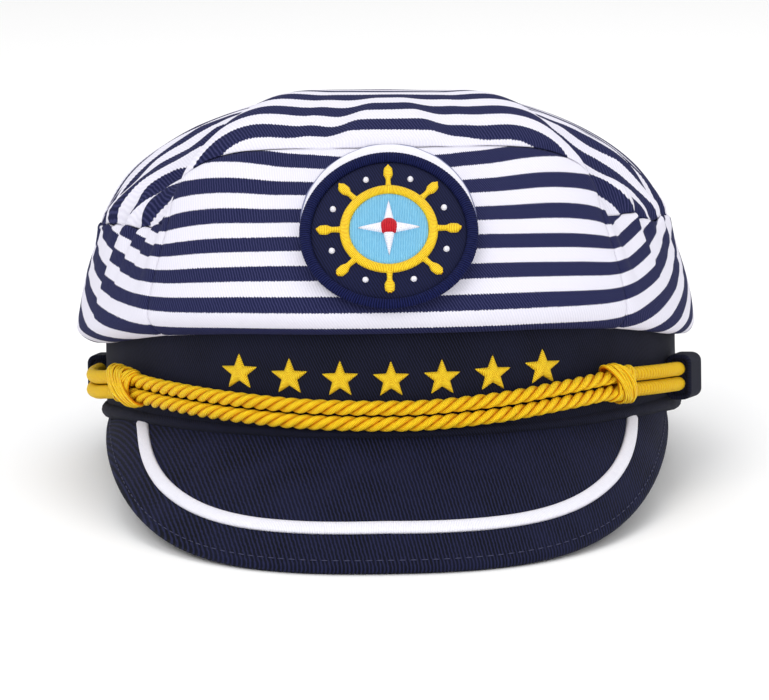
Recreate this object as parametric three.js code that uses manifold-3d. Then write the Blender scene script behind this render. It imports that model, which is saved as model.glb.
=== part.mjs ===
// A yachting cap of striped cotton, as it rests on a table: on its peak's edge and the back of its band.
// Millimetres, +Z up, the peak towards -Y. The cap is drawn level in its own frame, its band's lower
// edge at z = 0 and the head opening's centre on the z axis, and is then tipped back onto its rest plane.
import * as THREE from "three";
import { mergeVertices } from "three/addons/utils/BufferGeometryUtils.js";
import Module from "manifold-3d";

const wasm = await Module();
wasm.setup();

// Head opening and band
const headLength = 200;
const headWidth = 168;
const bandWall = 2.4;
const bandHeight = 32;
const weltRadius = 2.1;
const weltSpread = 0.3;

// Crown, heights above the band's lower edge
const clothWall = 1.2;
const crownHeight = 96;
const frontSeamHeight = 80.5;
const sideSeamHeight = 57.5;
const backSeamHeight = 50;
const frontInset = 27;
const overhang = 7.4;
const lopsidedness = 1.4;
const frontBulgeHeight = 36;
const foldRadius = 2.2;
const foldHeight = 29.3;
const sideSag = 7.4;
const tuckDepth = 7;
const frontPanelHalfAngle = 50;
const crestLift = 1.2;
const pleatDepth = 2.2;
const drapeDepth = 3.4;

// Peak
const peakThickness = 3;
const peakReach = 32;
const peakDrop = 34;
const peakHalfWidth = 84.2;
const peakShift = -1.6;
const peakRootTuck = 3;
const peakSquareness = 2.5;
const peakSideLift = 11;
const peakSideCurl = 6;
const peakCamber = 1.2;
const peakEndAngle = 86;
const braidWidth = 4;
const braidThickness = 0.4;
const braidRise = 0.4;
const braidSeatGap = 0.45;
const braidEdgeDistance = 13.5;
const braidEndAngle = 53;

// Gold cords, their knots and the side keepers
const cordDiameter = 3.8;
const cordSpacing = 4.4;
const cordSeatGap = 0.3;
const knotHeight = 12.6;
const knotWidth = 9.4;
const knotDepth = 8;
const knotWrapDiameter = 2.4;
const knotCoreShare = 0.44;
const wrapSlant = 0.45;
const keeperLength = 13;
const keeperWall = 1.5;
const keeperRoomAcross = 0.4;
const keeperRoomAbove = 1.1;

// Badge and stars
const badgeRadius = 24;
const badgeHeight = 56.4;
const badgeThickness = 1.2;
const badgeBorderWidth = 3;
const badgeBorderHeight = 2.4;
const padRadius = 25;
const padThickness = 2.2;
const padShift = 4.8;
const stitchHeight = 0.6;
const wheelRadius = 13.2;
const wheelRimWidth = 2.6;
const handleReach = 19.4;
const handleNeck = 1.4;
const handleTip = 2;
const spokeWidth = 1.8;
const spokeCount = 8;
const compassRadius = 8.6;
const compassWaist = 2.2;
const hubRadius = 2.4;
const starRadius = 5.5;
const starWaist = 0.42;
const starCount = 7;
const starPitch = 14.1;
const starHeight = 16.4;
const starRowLift = 1.8;

// Gaps between neighbouring pieces, and how far cloth is pressed flat where it rests
const gap = 0.3;
const tipSeamGap = 0.36;
const panelSeamGap = 0.42;
const peakRootGap = 0.48;
const pressDepth = 0.35;

// Grid steps
const tipRows = 8;
const tipRowCrowding = 1.25;
const riseRows = 5;
const weltSides = 8;
const peakSteps = 30;
const peakRows = 4;
const braidSteps = 28;
const cordSteps = 31;
const cordSides = 8;
const badgeSteps = 28;
const borderSides = 6;
const hubSteps = 12;

const bandHalfWidth = headWidth / 2 + bandWall;
const bandHalfLength = headLength / 2 + bandWall;
const keeperDepth = cordDiameter + 2 * (keeperWall + keeperRoomAcross);
const keeperHeight = cordDiameter + cordSpacing + 2 * (keeperWall + keeperRoomAbove);
const keeperSeat = keeperDepth / 2 + gap;
const cordSeat = cordDiameter / 2 + cordSeatGap;
const radians = THREE.MathUtils.degToRad;

// Crown sections from the front centre (0) round either side to the back (180), at the tip's seam. rise is
// the seam's height between the side's (0) and the front's (1), fall the same towards the back's. inset is
// how far it leans in, as a share of frontInset. shoulder and crown are the lengths of the dome curve's two
// handles, as shares of the way to the centre, and crest lifts the second one, as a share of crestLift.
const sections = [
  { angle: 0, rise: 1, fall: 0, inset: 1, shoulder: 0.3, crown: 0.58, crest: 1 },
  { angle: 25, rise: 1, fall: 0, inset: 0.84, shoulder: 0.29, crown: 0.56, crest: 0.7 },
  { angle: 35, rise: 0.97, fall: 0, inset: 0.56, shoulder: 0.28, crown: 0.55, crest: 0.4 },
  { angle: 42, rise: 0.87, fall: 0, inset: 0.38, shoulder: 0.28, crown: 0.55, crest: 0.2 },
  { angle: 48, rise: 0.6, fall: 0, inset: 0.25, shoulder: 0.29, crown: 0.55, crest: 0 },
  { angle: 52, rise: 0.1, fall: 0, inset: 0.17, shoulder: 0.32, crown: 0.55, crest: 0 },
  { angle: 70, rise: 0.02, fall: 0, inset: 0.05, shoulder: 0.32, crown: 0.55, crest: 0 },
  { angle: 90, rise: 0, fall: 0, inset: 0, shoulder: 0.32, crown: 0.55, crest: 0 },
  { angle: 130, rise: 0, fall: 0.5, inset: 0.02, shoulder: 0.3, crown: 0.56, crest: 0 },
  { angle: 180, rise: 0, fall: 1, inset: 0.08, shoulder: 0.3, crown: 0.56, crest: 0 },
];

// The overhang above the band, at the same kind of angles. sag is its droop as a share of sideSag, puff its
// reach as a share of overhang, and lift the bulge's height between foldHeight (0) and frontBulgeHeight (1).
const overhangs = [
  { angle: 0, sag: 0, puff: 1, lift: 1 },
  { angle: 25, sag: 0.02, puff: 1, lift: 1 },
  { angle: 35, sag: 0.08, puff: 1.05, lift: 1 },
  { angle: 42, sag: 0.16, puff: 1.05, lift: 1 },
  { angle: 48, sag: 0.26, puff: 1.05, lift: 0.95 },
  { angle: 52, sag: 0.36, puff: 1, lift: 0.9 },
  { angle: 70, sag: 0.8, puff: 0.98, lift: 0.75 },
  { angle: 90, sag: 1, puff: 0.98, lift: 0.7 },
  { angle: 130, sag: 0.8, puff: 1.1, lift: 0.75 },
  { angle: 180, sag: 0.6, puff: 1.25, lift: 0.8 },
];

// The wall's curve above its bulge: the lengths of its two handles, as shares of its lean and its climb.
const riseHandles = { lowIn: 0.12, lowUp: 0.3, topOut: 0.36, topDown: 0.32 };

// A pleat's depth on the dome, as a share of its depth at the seam.
const pleatOnDome = 0.6;

// Angles at which the cap has its lines of points, on either side, closer together at the crown's corner.
const stations = [
  0, 8, 16, 24, 31, 37, 42, 46, 50, 53, 57, 61, 66, 70,
  75, 80, 85, 92, 100, 108, 117, 126, 136, 146, 156, 168, 180,
];

// Pleats at the tip's seam. angle is signed, + to +X. depth is a share of pleatDepth, width is in degrees,
// down and up are how far the pleat runs on the wall and the dome, as shares of each.
const pleats = [
  { angle: -57, depth: 1, width: 3, down: 0.8, up: 0.28 },
  { angle: -66, depth: 0.9, width: 3, down: 0.6, up: 0.26 },
  { angle: -80, depth: 0.7, width: 4, down: 0.5, up: 0.22 },
  { angle: 57, depth: 1, width: 3, down: 0.75, up: 0.24 },
  { angle: 75, depth: 0.6, width: 4, down: 0.5, up: 0.3 },
  { angle: 117, depth: 0.6, width: 6, down: 0.5, up: 0.3 },
  { angle: -126, depth: 0.6, width: 6, down: 0.5, up: 0.3 },
  { angle: 156, depth: 0.5, width: 6, down: 0.4, up: 0.25 },
  { angle: -156, depth: 0.5, width: 6, down: 0.4, up: 0.25 },
];

// Drapes are long hollows in the dome's cloth. from and to are signed angles at the seam's end and at the
// centre's end. depth is a share of drapeDepth, width is in degrees, start and end are shares of the way in.
const drapes = [
  { from: -50, to: -58, depth: 1, width: 6, start: 0, end: 0.5 },
  { from: -70, to: -50, depth: 0.7, width: 6, start: 0.05, end: 0.6 },
  { from: 50, to: 62, depth: 1, width: 6, start: 0, end: 0.5 },
  { from: 72, to: 52, depth: 0.8, width: 6, start: 0.05, end: 0.6 },
  { from: -22, to: -40, depth: 0.4, width: 9, start: 0, end: 0.5 },
  { from: 30, to: 40, depth: 0.4, width: 9, start: 0, end: 0.5 },
  { from: 100, to: 85, depth: 0.6, width: 10, start: 0.1, end: 0.7 },
  { from: -105, to: -90, depth: 0.6, width: 10, start: 0.1, end: 0.7 },
  { from: 150, to: 160, depth: 0.6, width: 12, start: 0.1, end: 0.65 },
  { from: -145, to: -150, depth: 0.6, width: 12, start: 0.1, end: 0.65 },
];

// The cords' route from the left keeper to the right one: the signed angle round the band, the height of
// the pair's middle, and out, from lying on the band (0) to the keepers' middle (1).
const cordRoute = [
  { angle: -103, height: 9.8, out: 1 },
  { angle: -98, height: 9.8, out: 1 },
  { angle: -88, height: 9.9, out: 1 },
  { angle: -75, height: 10.6, out: 1 },
  { angle: -59, height: 12.4, out: 1 },
  { angle: -46, height: 10.8, out: 0.35 },
  { angle: -29, height: 8.6, out: 0.05 },
  { angle: -12, height: 7, out: 0 },
  { angle: 3, height: 6.6, out: 0 },
  { angle: 18, height: 7.9, out: 0.05 },
  { angle: 33, height: 10.4, out: 0.4 },
  { angle: 46, height: 12.2, out: 1 },
  { angle: 62, height: 11.6, out: 1 },
  { angle: 75, height: 10.8, out: 1 },
];
const knotAngles = { knot_left: -59, knot_right: 46 };
const keeperAngles = { keeper_left: -100, keeper_right: 72 };

// Monotone cubic through a table's column, so that a steep step doesn't overshoot.
function column(rows, name, key = "angle") {
  const x = rows.map((row) => row[key]);
  const y = rows.map((row) => row[name]);
  const slope = x.slice(1).map((end, i) => (y[i + 1] - y[i]) / (end - x[i]));
  const tangent = x.map((_, i) => {
    if (i === 0 || i === x.length - 1) return 0;
    const [before, after] = [slope[i - 1], slope[i]];
    return before * after <= 0 ? 0 : (2 * before * after) / (before + after);
  });
  return (at) => {
    const clamped = THREE.MathUtils.clamp(at, x[0], x[x.length - 1]);
    const i = Math.min(x.length - 2, Math.max(0, x.findIndex((end) => end >= clamped) - 1));
    const span = x[i + 1] - x[i];
    const t = (clamped - x[i]) / span;
    const [t2, t3] = [t * t, t * t * t];
    return (
      y[i] * (2 * t3 - 3 * t2 + 1) +
      tangent[i] * span * (t3 - 2 * t2 + t) +
      y[i + 1] * (3 * t2 - 2 * t3) +
      tangent[i + 1] * span * (t3 - t2)
    );
  };
}

const columns = (rows, names) => Object.fromEntries(names.map((name) => [name, column(rows, name)]));
const section = columns(sections, ["rise", "fall", "inset", "shoulder", "crown", "crest"]);
const overhangShare = columns(overhangs, ["sag", "puff", "lift"]);
const routeHeight = column(cordRoute, "height");
const routeOut = column(cordRoute, "out");

// The signed angle, brought to -180 to 180.
const signed = (angle) => THREE.MathUtils.euclideanModulo(angle + 180, 360) - 180;

// A bell of height 1 that is 0 beyond twice its width.
function bell(distance, width) {
  const share = Math.min(1, Math.abs(distance) / (2 * width));
  return (1 + Math.cos(Math.PI * share)) / 2;
}

// A point at a signed angle round the band, out from its face along the ellipse's normal, at a height.
function aroundBand(angle, out, height) {
  const a = radians(angle);
  const normal = new THREE.Vector2(Math.sin(a) / bandHalfWidth, -Math.cos(a) / bandHalfLength).normalize();
  return new THREE.Vector3(
    bandHalfWidth * Math.sin(a) + normal.x * out,
    -bandHalfLength * Math.cos(a) + normal.y * out,
    height,
  );
}

// The cap's left side (-X) is a little fuller than its right.
const fuller = (angle) => -lopsidedness * Math.sin(radians(angle));

// Crown: the seam between the wall and the tip, as out and height at an angle.
function tipSeam(angle) {
  const away = Math.abs(signed(angle));
  const height =
    sideSeamHeight +
    section.rise(away) * (frontSeamHeight - sideSeamHeight) +
    section.fall(away) * (backSeamHeight - sideSeamHeight);
  return new THREE.Vector2(fuller(angle) - section.inset(away) * frontInset, height);
}

// The overhang's fold and bulge at an angle.
function overhangAt(angle) {
  const away = Math.abs(signed(angle));
  const fold = foldHeight - overhangShare.sag(away) * sideSag;
  const reach = overhangShare.puff(away) * overhang + fuller(angle);
  const bulge = fold + overhangShare.lift(away) * (frontBulgeHeight - foldHeight);
  return { fold, reach, bulge };
}

// The curve of the wall above its bulge, from the bulge to the tip's seam, as out and height.
function wallRise(angle) {
  const { reach, bulge } = overhangAt(angle);
  const seam = tipSeam(angle);
  const climb = seam.y - bulge;
  const lean = reach - seam.x;
  return new THREE.CubicBezierCurve(
    new THREE.Vector2(reach, bulge),
    new THREE.Vector2(reach - riseHandles.lowIn * lean, bulge + riseHandles.lowUp * climb),
    new THREE.Vector2(seam.x + riseHandles.topOut * lean, seam.y - riseHandles.topDown * climb),
    seam,
  );
}

// The wall's whole section: tucked inside the band, over its top, down outside it, round the fold and up.
function wallSection(angle) {
  const { fold, reach, bulge } = overhangAt(angle);
  const inside = -bandWall - gap;
  const foldMiddle = new THREE.Vector2(gap + foldRadius, fold + foldRadius);
  const foldCurve = new THREE.ArcCurve(foldMiddle.x, foldMiddle.y, foldRadius, Math.PI, Math.PI * 1.5);
  const puffCurve = new THREE.CubicBezierCurve(
    new THREE.Vector2(foldMiddle.x, fold),
    new THREE.Vector2(foldMiddle.x + foldRadius, fold),
    new THREE.Vector2(reach, (fold + bulge) / 2),
    new THREE.Vector2(reach, bulge),
  );
  return [
    new THREE.Vector2(inside, bandHeight - tuckDepth),
    new THREE.Vector2(inside, bandHeight + gap),
    new THREE.Vector2(gap, bandHeight + gap),
    ...foldCurve.getPoints(2),
    ...puffCurve.getPoints(3).slice(1),
    ...wallRise(angle).getPoints(riseRows).slice(1),
  ];
}

// How deep the pleats are at an angle, for a distance from the seam as a share of the wall or dome.
function pleatAt(angle, share, side) {
  return pleats.reduce((sum, pleat) => {
    const across = bell(signed(angle - pleat.angle), pleat.width);
    const along = Math.max(0, 1 - share / pleat[side]);
    return sum + pleat.depth * pleatDepth * across * along * along;
  }, 0);
}

function drapeAt(angle, share) {
  return drapes.reduce((sum, drape) => {
    const along = THREE.MathUtils.clamp((share - drape.start) / (drape.end - drape.start), 0, 1);
    const ridge = THREE.MathUtils.lerp(drape.from, drape.to, along);
    const spread = drape.width * (1 + along);
    return sum + drape.depth * drapeDepth * bell(signed(angle - ridge), spread) * Math.sin(Math.PI * along);
  }, 0);
}

// One column of the crown's wall, with its pleats pressed in near the seam.
function wallColumn(angle) {
  const points = wallSection(angle);
  const riseStart = points.length - 1 - riseRows;
  return points.map((point, row) => {
    const share = 1 - (row - riseStart) / riseRows;
    const pressed = row < riseStart ? 0 : pleatAt(angle, share, "down");
    return aroundBand(angle, point.x - pressed, point.y);
  });
}

// The tip's seam in space, with its pleats pressed in.
function seamPoint(angle) {
  const seam = tipSeam(angle);
  return aroundBand(angle, seam.x - pleatAt(angle, 0, "down"), seam.y);
}

// At the tip's seam: the way the cloth runs up, the way across the seam in the cloth, and the outward normal.
function seamFrame(angle) {
  const rim = seamPoint(angle);
  const lean = wallRise(angle).getTangent(1);
  const radial = new THREE.Vector3(rim.x, rim.y, 0).normalize();
  const heading = radial.multiplyScalar(lean.x).setZ(lean.y).normalize();
  const alongSeam = seamPoint(angle + 1).sub(seamPoint(angle - 1)).normalize();
  const normal = alongSeam.clone().cross(heading).normalize();
  const across = normal.clone().cross(alongSeam).normalize();
  return { rim, heading, across, normal };
}

// The tip's curve at an angle, from the seam in to the crown's top, in the vertical plane through both.
function domeCurve(angle) {
  const away = Math.abs(signed(angle));
  const { rim, heading, across } = seamFrame(angle);
  const top = new THREE.Vector3(0, 0, crownHeight);
  const inward = new THREE.Vector3(-rim.x, -rim.y, 0);
  const way = inward.length();
  inward.normalize();
  const start = rim.clone().addScaledVector(across, tipSeamGap);
  const shoulder = start.clone().addScaledVector(heading, section.shoulder(away) * way);
  const crest = top.clone().addScaledVector(inward, -section.crown(away) * way);
  crest.z += section.crest(away) * crestLift;
  return new THREE.CubicBezierCurve3(start, shoulder, crest, top);
}

function domeColumn(angle) {
  const curve = domeCurve(angle);
  const steps = Array.from({ length: tipRows }, (_, row) => (row / tipRows) ** tipRowCrowding);
  return steps.map((share) => {
    const point = curve.getPoint(share);
    const tangent = curve.getTangent(share);
    const across = new THREE.Vector3(point.y, -point.x, 0).normalize();
    const outward = tangent.clone().cross(across).normalize();
    const pressed = share === 0 ? 0 : pleatAt(angle, share, "up") * pleatOnDome + drapeAt(angle, share);
    return point.addScaledVector(outward, -pressed);
  });
}

// Columns of points, one for each angle, as rows of a grid.
const asRows = (columns) => columns[0].map((_, row) => columns.map((points) => points[row]));

// A closed wall from a grid of points: the grid itself faces out, and a copy lies one wall inside it.
// ring joins the last column to the first, and pole closes the last row in a point. normalAt gives the
// outward normal where the grid alone doesn't, as along an edge that a neighbour meets.
function wallGeometry(rows, wall, { ring = false, pole = null, normalAt = () => null } = {}) {
  const [rowCount, columnCount] = [rows.length, rows[0].length];
  const at = (row, column) => {
    const wrapped = ring
      ? THREE.MathUtils.euclideanModulo(column, columnCount)
      : THREE.MathUtils.clamp(column, 0, columnCount - 1);
    return rows[THREE.MathUtils.clamp(row, 0, rowCount - 1)][wrapped];
  };
  const positions = [];
  const push = (point) => positions.push(point.x, point.y, point.z) / 3 - 1;
  const outer = rows.map((points) => points.map(push));
  const inner = rows.map((points, row) =>
    points.map((point, column) => {
      const across = at(row, column + 1).clone().sub(at(row, column - 1));
      const along = at(row + 1, column).clone().sub(at(row - 1, column));
      const normal = normalAt(row, column) ?? across.cross(along).normalize();
      return push(point.clone().addScaledVector(normal, -wall));
    }),
  );
  const triangles = [];
  const quad = (a, b, c, d) => triangles.push(a, b, c, a, c, d);
  const lastRow = rowCount - 1;
  const spans = ring ? columnCount : columnCount - 1;
  for (let column = 0; column < spans; column++) {
    const next = (column + 1) % columnCount;
    for (let row = 0; row < lastRow; row++) {
      quad(outer[row][column], outer[row][next], outer[row + 1][next], outer[row + 1][column]);
      quad(inner[row][next], inner[row][column], inner[row + 1][column], inner[row + 1][next]);
    }
    quad(inner[0][column], inner[0][next], outer[0][next], outer[0][column]);
    if (pole) continue;
    quad(outer[lastRow][column], outer[lastRow][next], inner[lastRow][next], inner[lastRow][column]);
  }
  if (!ring) {
    const last = columnCount - 1;
    for (let row = 0; row < lastRow; row++) {
      quad(outer[row][0], outer[row + 1][0], inner[row + 1][0], inner[row][0]);
      quad(inner[row][last], inner[row + 1][last], outer[row + 1][last], outer[row][last]);
    }
  }
  if (pole) {
    const outerPole = push(pole);
    const innerPole = push(pole.clone().add(new THREE.Vector3(0, 0, -wall)));
    for (let column = 0; column < columnCount; column++) {
      const next = (column + 1) % columnCount;
      triangles.push(outer[lastRow][column], outer[lastRow][next], outerPole);
      triangles.push(inner[lastRow][next], inner[lastRow][column], innerPole);
    }
  }
  const geometry = new THREE.BufferGeometry();
  geometry.setAttribute("position", new THREE.Float32BufferAttribute(positions, 3));
  geometry.setIndex(triangles);
  return geometry;
}

// manifold-3d solids, for cutting and joining
function solidOf(geometry) {
  const bare = new THREE.BufferGeometry().setAttribute("position", geometry.getAttribute("position"));
  bare.setIndex(geometry.index);
  const merged = mergeVertices(bare, 1e-4);
  return new wasm.Manifold(
    new wasm.Mesh({
      numProp: 3,
      vertProperties: merged.getAttribute("position").array,
      triVerts: new Uint32Array(merged.index.array),
    }),
  );
}

function geometryOf(solid) {
  const mesh = solid.getMesh();
  const geometry = new THREE.BufferGeometry();
  geometry.setAttribute("position", new THREE.Float32BufferAttribute(mesh.vertProperties, 3));
  geometry.setIndex(new THREE.Uint32BufferAttribute(mesh.triVerts, 1));
  return geometry;
}

function tube(points, radius, steps, sides) {
  const turns = even(0, 2 * Math.PI, sides).slice(0, sides);
  const outline = turns.map((turn) => new THREE.Vector2(radius * Math.cos(turn), radius * Math.sin(turn)));
  return new THREE.ExtrudeGeometry(new THREE.Shape(outline), {
    steps,
    extrudePath: new THREE.CatmullRomCurve3(points),
    bevelEnabled: false,
  });
}

const even = (from, to, count) =>
  Array.from({ length: count + 1 }, (_, i) => THREE.MathUtils.lerp(from, to, i / count));

const lineAngles = [...stations.slice(1).reverse().map((angle) => -angle), ...stations];
const ringAngles = lineAngles.slice(1);

// Band: a level ring of stiffened twill, and the soft welt rolled along its lower edge.
function bandGeometry() {
  const bottom = weltRadius + gap;
  const heights = [bottom, bandHeight];
  return wallGeometry(
    heights.map((height) => ringAngles.map((angle) => aroundBand(angle, 0, height))),
    bandWall,
    { ring: true },
  );
}

function weltGeometry() {
  const middle = -bandWall / 2;
  const turns = even(0, 360, weltSides).slice(0, weltSides).map(radians);
  const rows = turns.map((turn) =>
    ringAngles.map((angle) =>
      aroundBand(angle, middle + (weltRadius + weltSpread) * Math.cos(turn), weltRadius * Math.sin(turn)),
    ),
  );
  return ringOfRows(rows);
}

// A closed ring from rows that run round the cap, the last row joined to the first.
function ringOfRows(rows) {
  const columnCount = rows[0].length;
  const positions = rows.flat().flatMap((point) => point.toArray());
  const index = (row, column) => (row % rows.length) * columnCount + (column % columnCount);
  const triangles = rows.flatMap((_, row) =>
    rows[0].flatMap((_, column) => {
      const [a, b] = [index(row, column), index(row, column + 1)];
      const [c, d] = [index(row + 1, column + 1), index(row + 1, column)];
      return [a, b, c, a, c, d];
    }),
  );
  const geometry = new THREE.BufferGeometry();
  geometry.setAttribute("position", new THREE.Float32BufferAttribute(positions, 3));
  geometry.setIndex(triangles);
  return geometry;
}

// Crown pieces. Each panel stops half a gap short of the seam it shares.
const seamAngle = (panelSeamGap / 2 / bandHalfWidth) * THREE.MathUtils.RAD2DEG;

function panelGeometry(from, to) {
  const between = lineAngles.filter((angle) => angle > from && angle < to);
  const angles = [from + seamAngle, ...between, to - seamAngle];
  const rows = asRows(angles.map(wallColumn));
  const normalAt = (row, i) => (row === rows.length - 1 ? seamFrame(angles[i]).normal : null);
  return wallGeometry(rows, clothWall, { normalAt });
}

function tipGeometry() {
  return wallGeometry(asRows(ringAngles.map(domeColumn)), clothWall, {
    ring: true,
    pole: new THREE.Vector3(0, 0, crownHeight),
    normalAt: (row, i) => (row === 0 ? seamFrame(ringAngles[i]).normal : null),
  });
}

// The plane the cap rests on, through the peak's front edge and the welt's underside at the back.
const frontReach = bandHalfLength + peakReach;
const restTilt = Math.atan2(peakDrop - weltRadius, bandHalfLength + frontReach);
const restHeight = (y) => -weltRadius - (bandHalfLength - y) * Math.tan(restTilt);

// Peak: rows from the root under the welt to the edge, which lies on the rest plane along its front.
const peakSlope = Math.atan2(peakDrop - weltRadius, peakReach);

// Lines of the peak from its root to its edge: share is the line's angle round the band, of peakEndAngle,
// and turn is how far round the edge it ends, in degrees.
const peakLines = [
  { share: 0, turn: 0 },
  { share: 0.23, turn: 18 },
  { share: 0.47, turn: 46.5 },
  { share: 0.66, turn: 71.5 },
  { share: 1, turn: 90 },
];
const edgeTurn = column(peakLines, "turn", "share");

// The root runs below the welt, tucked further in towards its ends.
function peakRoot(angle) {
  const tuck = peakRootTuck * (angle / peakEndAngle) ** 4;
  return aroundBand(angle, -bandWall / 2 - tuck, -weltRadius - peakRootGap);
}

// The edge curls up from the rest plane towards its ends.
function peakEdge(angle) {
  const turn = radians(edgeTurn(Math.abs(angle) / peakEndAngle));
  const power = 2 / peakSquareness;
  const endY = aroundBand(peakEndAngle, 0, 0).y;
  const across = Math.sin(turn) ** power;
  const y = endY - (frontReach + endY) * Math.cos(turn) ** power;
  const lift = peakSideLift * across ** peakSideCurl;
  const top = restHeight(y) + lift + peakThickness * Math.cos(peakSlope);
  return new THREE.Vector3(peakShift + Math.sign(angle) * peakHalfWidth * across, y, top);
}

// A point of the peak's upper face, on the line at an angle. way runs from the root to the edge.
function peakPoint(angle, way) {
  const [root, edge] = [peakRoot(angle), peakEdge(angle)];
  const camber = peakCamber * Math.sin(Math.PI * way) * Math.cos(radians(angle));
  const bulge = new THREE.Vector3(0, -Math.sin(peakSlope), Math.cos(peakSlope));
  return root.lerp(edge, way).addScaledVector(bulge, camber);
}

// A slab under the rest plane, raised into the cap by a depth.
function floorSlab(depth) {
  const side = 4 * headLength;
  const slab = new THREE.BoxGeometry(side, side, side);
  slab.translate(0, 0, -side / 2);
  slab.rotateX(restTilt);
  slab.translate(0, bandHalfLength, -weltRadius + depth);
  return solidOf(slab);
}

function peakGeometry() {
  const angles = even(-peakEndAngle, peakEndAngle, peakSteps);
  const rows = even(1, 0, peakRows).map((way) => angles.map((angle) => peakPoint(angle, way)));
  const normalAt = (row, i) => {
    const radial = new THREE.Vector3(Math.sin(radians(angles[i])), -Math.cos(radians(angles[i])), 0);
    return radial.multiplyScalar(Math.sin(peakSlope)).setZ(Math.cos(peakSlope));
  };
  return geometryOf(solidOf(wallGeometry(rows, peakThickness, { normalAt })).subtract(floorSlab(pressDepth)));
}

// The braid's middle on the peak, a constant distance in from the edge along each line.
function braidMiddle(angle) {
  const way = 1 - braidEdgeDistance / peakRoot(angle).distanceTo(peakEdge(angle));
  const [angleStep, wayStep] = [0.1, 1e-3];
  const across = peakPoint(angle + angleStep, way).sub(peakPoint(angle - angleStep, way));
  const along = peakPoint(angle, way + wayStep).sub(peakPoint(angle, way - wayStep));
  return { point: peakPoint(angle, way), normal: along.cross(across).normalize() };
}

function braidGeometry() {
  const path = even(-braidEndAngle, braidEndAngle, braidSteps).map(braidMiddle);
  const rows = [0.5, 0.2, -0.2, -0.5].map((offset) =>
    path.map(({ point, normal }, i) => {
      const before = path[Math.max(0, i - 1)].point;
      const after = path[Math.min(braidSteps, i + 1)].point;
      const side = after.clone().sub(before).cross(normal).normalize();
      const height = braidSeatGap + braidThickness + braidRise * (1 - 4 * offset ** 2);
      return point.clone().addScaledVector(side, offset * braidWidth).addScaledVector(normal, height);
    }),
  );
  return wallGeometry(rows, braidThickness);
}

// Cords: two strands, one above the other, from keeper to keeper.
function cordPoint(angle, level = 0) {
  const out = THREE.MathUtils.lerp(cordSeat, keeperSeat, routeOut(angle));
  return aroundBand(angle, out, routeHeight(angle) + level * cordSpacing);
}

function strandPoints(level) {
  const [first, last] = [cordRoute[0], cordRoute[cordRoute.length - 1]];
  return even(first.angle, last.angle, cordSteps).map((angle) => cordPoint(angle, level));
}

const strandGeometry = (level, radius) => tube(strandPoints(level), radius, cordSteps, cordSides);

const cordLevels = { cord_upper: 0.5, cord_lower: -0.5 };

// A knot: a core round both strands, and three slanted wraps over it.
function knotGeometry(angle) {
  const centre = cordPoint(angle);
  const along = cordPoint(angle + 1).sub(cordPoint(angle - 1)).setZ(0).normalize();
  const up = new THREE.Vector3(0, 0, 1);
  const out = along.clone().cross(up).normalize();
  const back = along.clone().negate();
  const core = new THREE.SphereGeometry(1, 8, 6);
  core.scale(knotDepth * knotCoreShare, knotHeight * knotCoreShare, knotWidth * knotCoreShare);
  core.applyMatrix4(new THREE.Matrix4().makeBasis(out, up, back).setPosition(centre));
  const wrapShifts = [-1, 0, 1];
  const joined = wrapShifts.reduce((sum, shift, i) => {
    const wrap = new THREE.TorusGeometry((knotHeight - knotWrapDiameter) / 2, knotWrapDiameter / 2, 5, 8);
    wrap.scale((knotDepth - knotWrapDiameter) / (knotHeight - knotWrapDiameter), 1, 1);
    const slant = up.clone().addScaledVector(along, i % 2 ? wrapSlant : -wrapSlant);
    const reach = shift * (knotWidth / 2 - knotWrapDiameter * 0.75);
    const middle = centre.clone().addScaledVector(along, reach);
    wrap.applyMatrix4(new THREE.Matrix4().makeBasis(out, slant, back).setPosition(middle));
    return sum.add(solidOf(wrap));
  }, solidOf(core));
  const bores = Object.values(cordLevels).map((level) => strandGeometry(level, cordDiameter / 2 + gap));
  const opened = bores.reduce((rest, bore) => rest.subtract(solidOf(bore)), joined.subtract(bandEnvelope()));
  return geometryOf(largest(opened));
}

// The biggest body of a solid that a cut has left in pieces.
const largest = (solid) => solid.decompose().sort((a, b) => b.volume() - a.volume())[0];

// The band and its welt with a gap round them, filled in.
function bandEnvelope() {
  const outline = new THREE.Shape(
    ringAngles.map((angle) => {
      const point = aroundBand(angle, gap, 0);
      return new THREE.Vector2(point.x, point.y);
    }),
  );
  return solidOf(new THREE.ExtrudeGeometry(outline, { depth: bandHeight, bevelEnabled: false }));
}

// Keeper: a flat cloth sleeve on the band's side, round the ends of both cords.
function roundedRectangle(width, height, radius) {
  const [x, y] = [width / 2, height / 2];
  const path = new THREE.Path();
  path.absarc(x - radius, y - radius, radius, 0, Math.PI / 2);
  path.absarc(-x + radius, y - radius, radius, Math.PI / 2, Math.PI);
  path.absarc(-x + radius, -y + radius, radius, Math.PI, Math.PI * 1.5);
  path.absarc(x - radius, -y + radius, radius, Math.PI * 1.5, Math.PI * 2);
  return path;
}

function keeperGeometry(angle) {
  const corner = keeperDepth * 0.3;
  const sleeve = new THREE.Shape(roundedRectangle(keeperDepth, keeperHeight, corner).getPoints(2));
  const [roomAcross, roomAbove] = [keeperDepth - 2 * keeperWall, keeperHeight - 2 * keeperWall];
  const hole = roundedRectangle(roomAcross, roomAbove, corner - keeperWall / 2);
  sleeve.holes.push(new THREE.Path(hole.getPoints(2)));
  const geometry = new THREE.ExtrudeGeometry(sleeve, { depth: keeperLength, bevelEnabled: false });
  geometry.translate(0, 0, -keeperLength / 2);
  const heading = aroundBand(angle + 0.5, 0, 0).sub(aroundBand(angle - 0.5, 0, 0)).normalize();
  const up = new THREE.Vector3(0, 0, 1);
  const out = heading.clone().cross(up);
  geometry.applyMatrix4(new THREE.Matrix4().makeBasis(out, up, heading.negate()));
  const centre = aroundBand(angle, keeperSeat, routeHeight(angle));
  return geometry.translate(centre.x, centre.y, centre.z);
}

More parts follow.
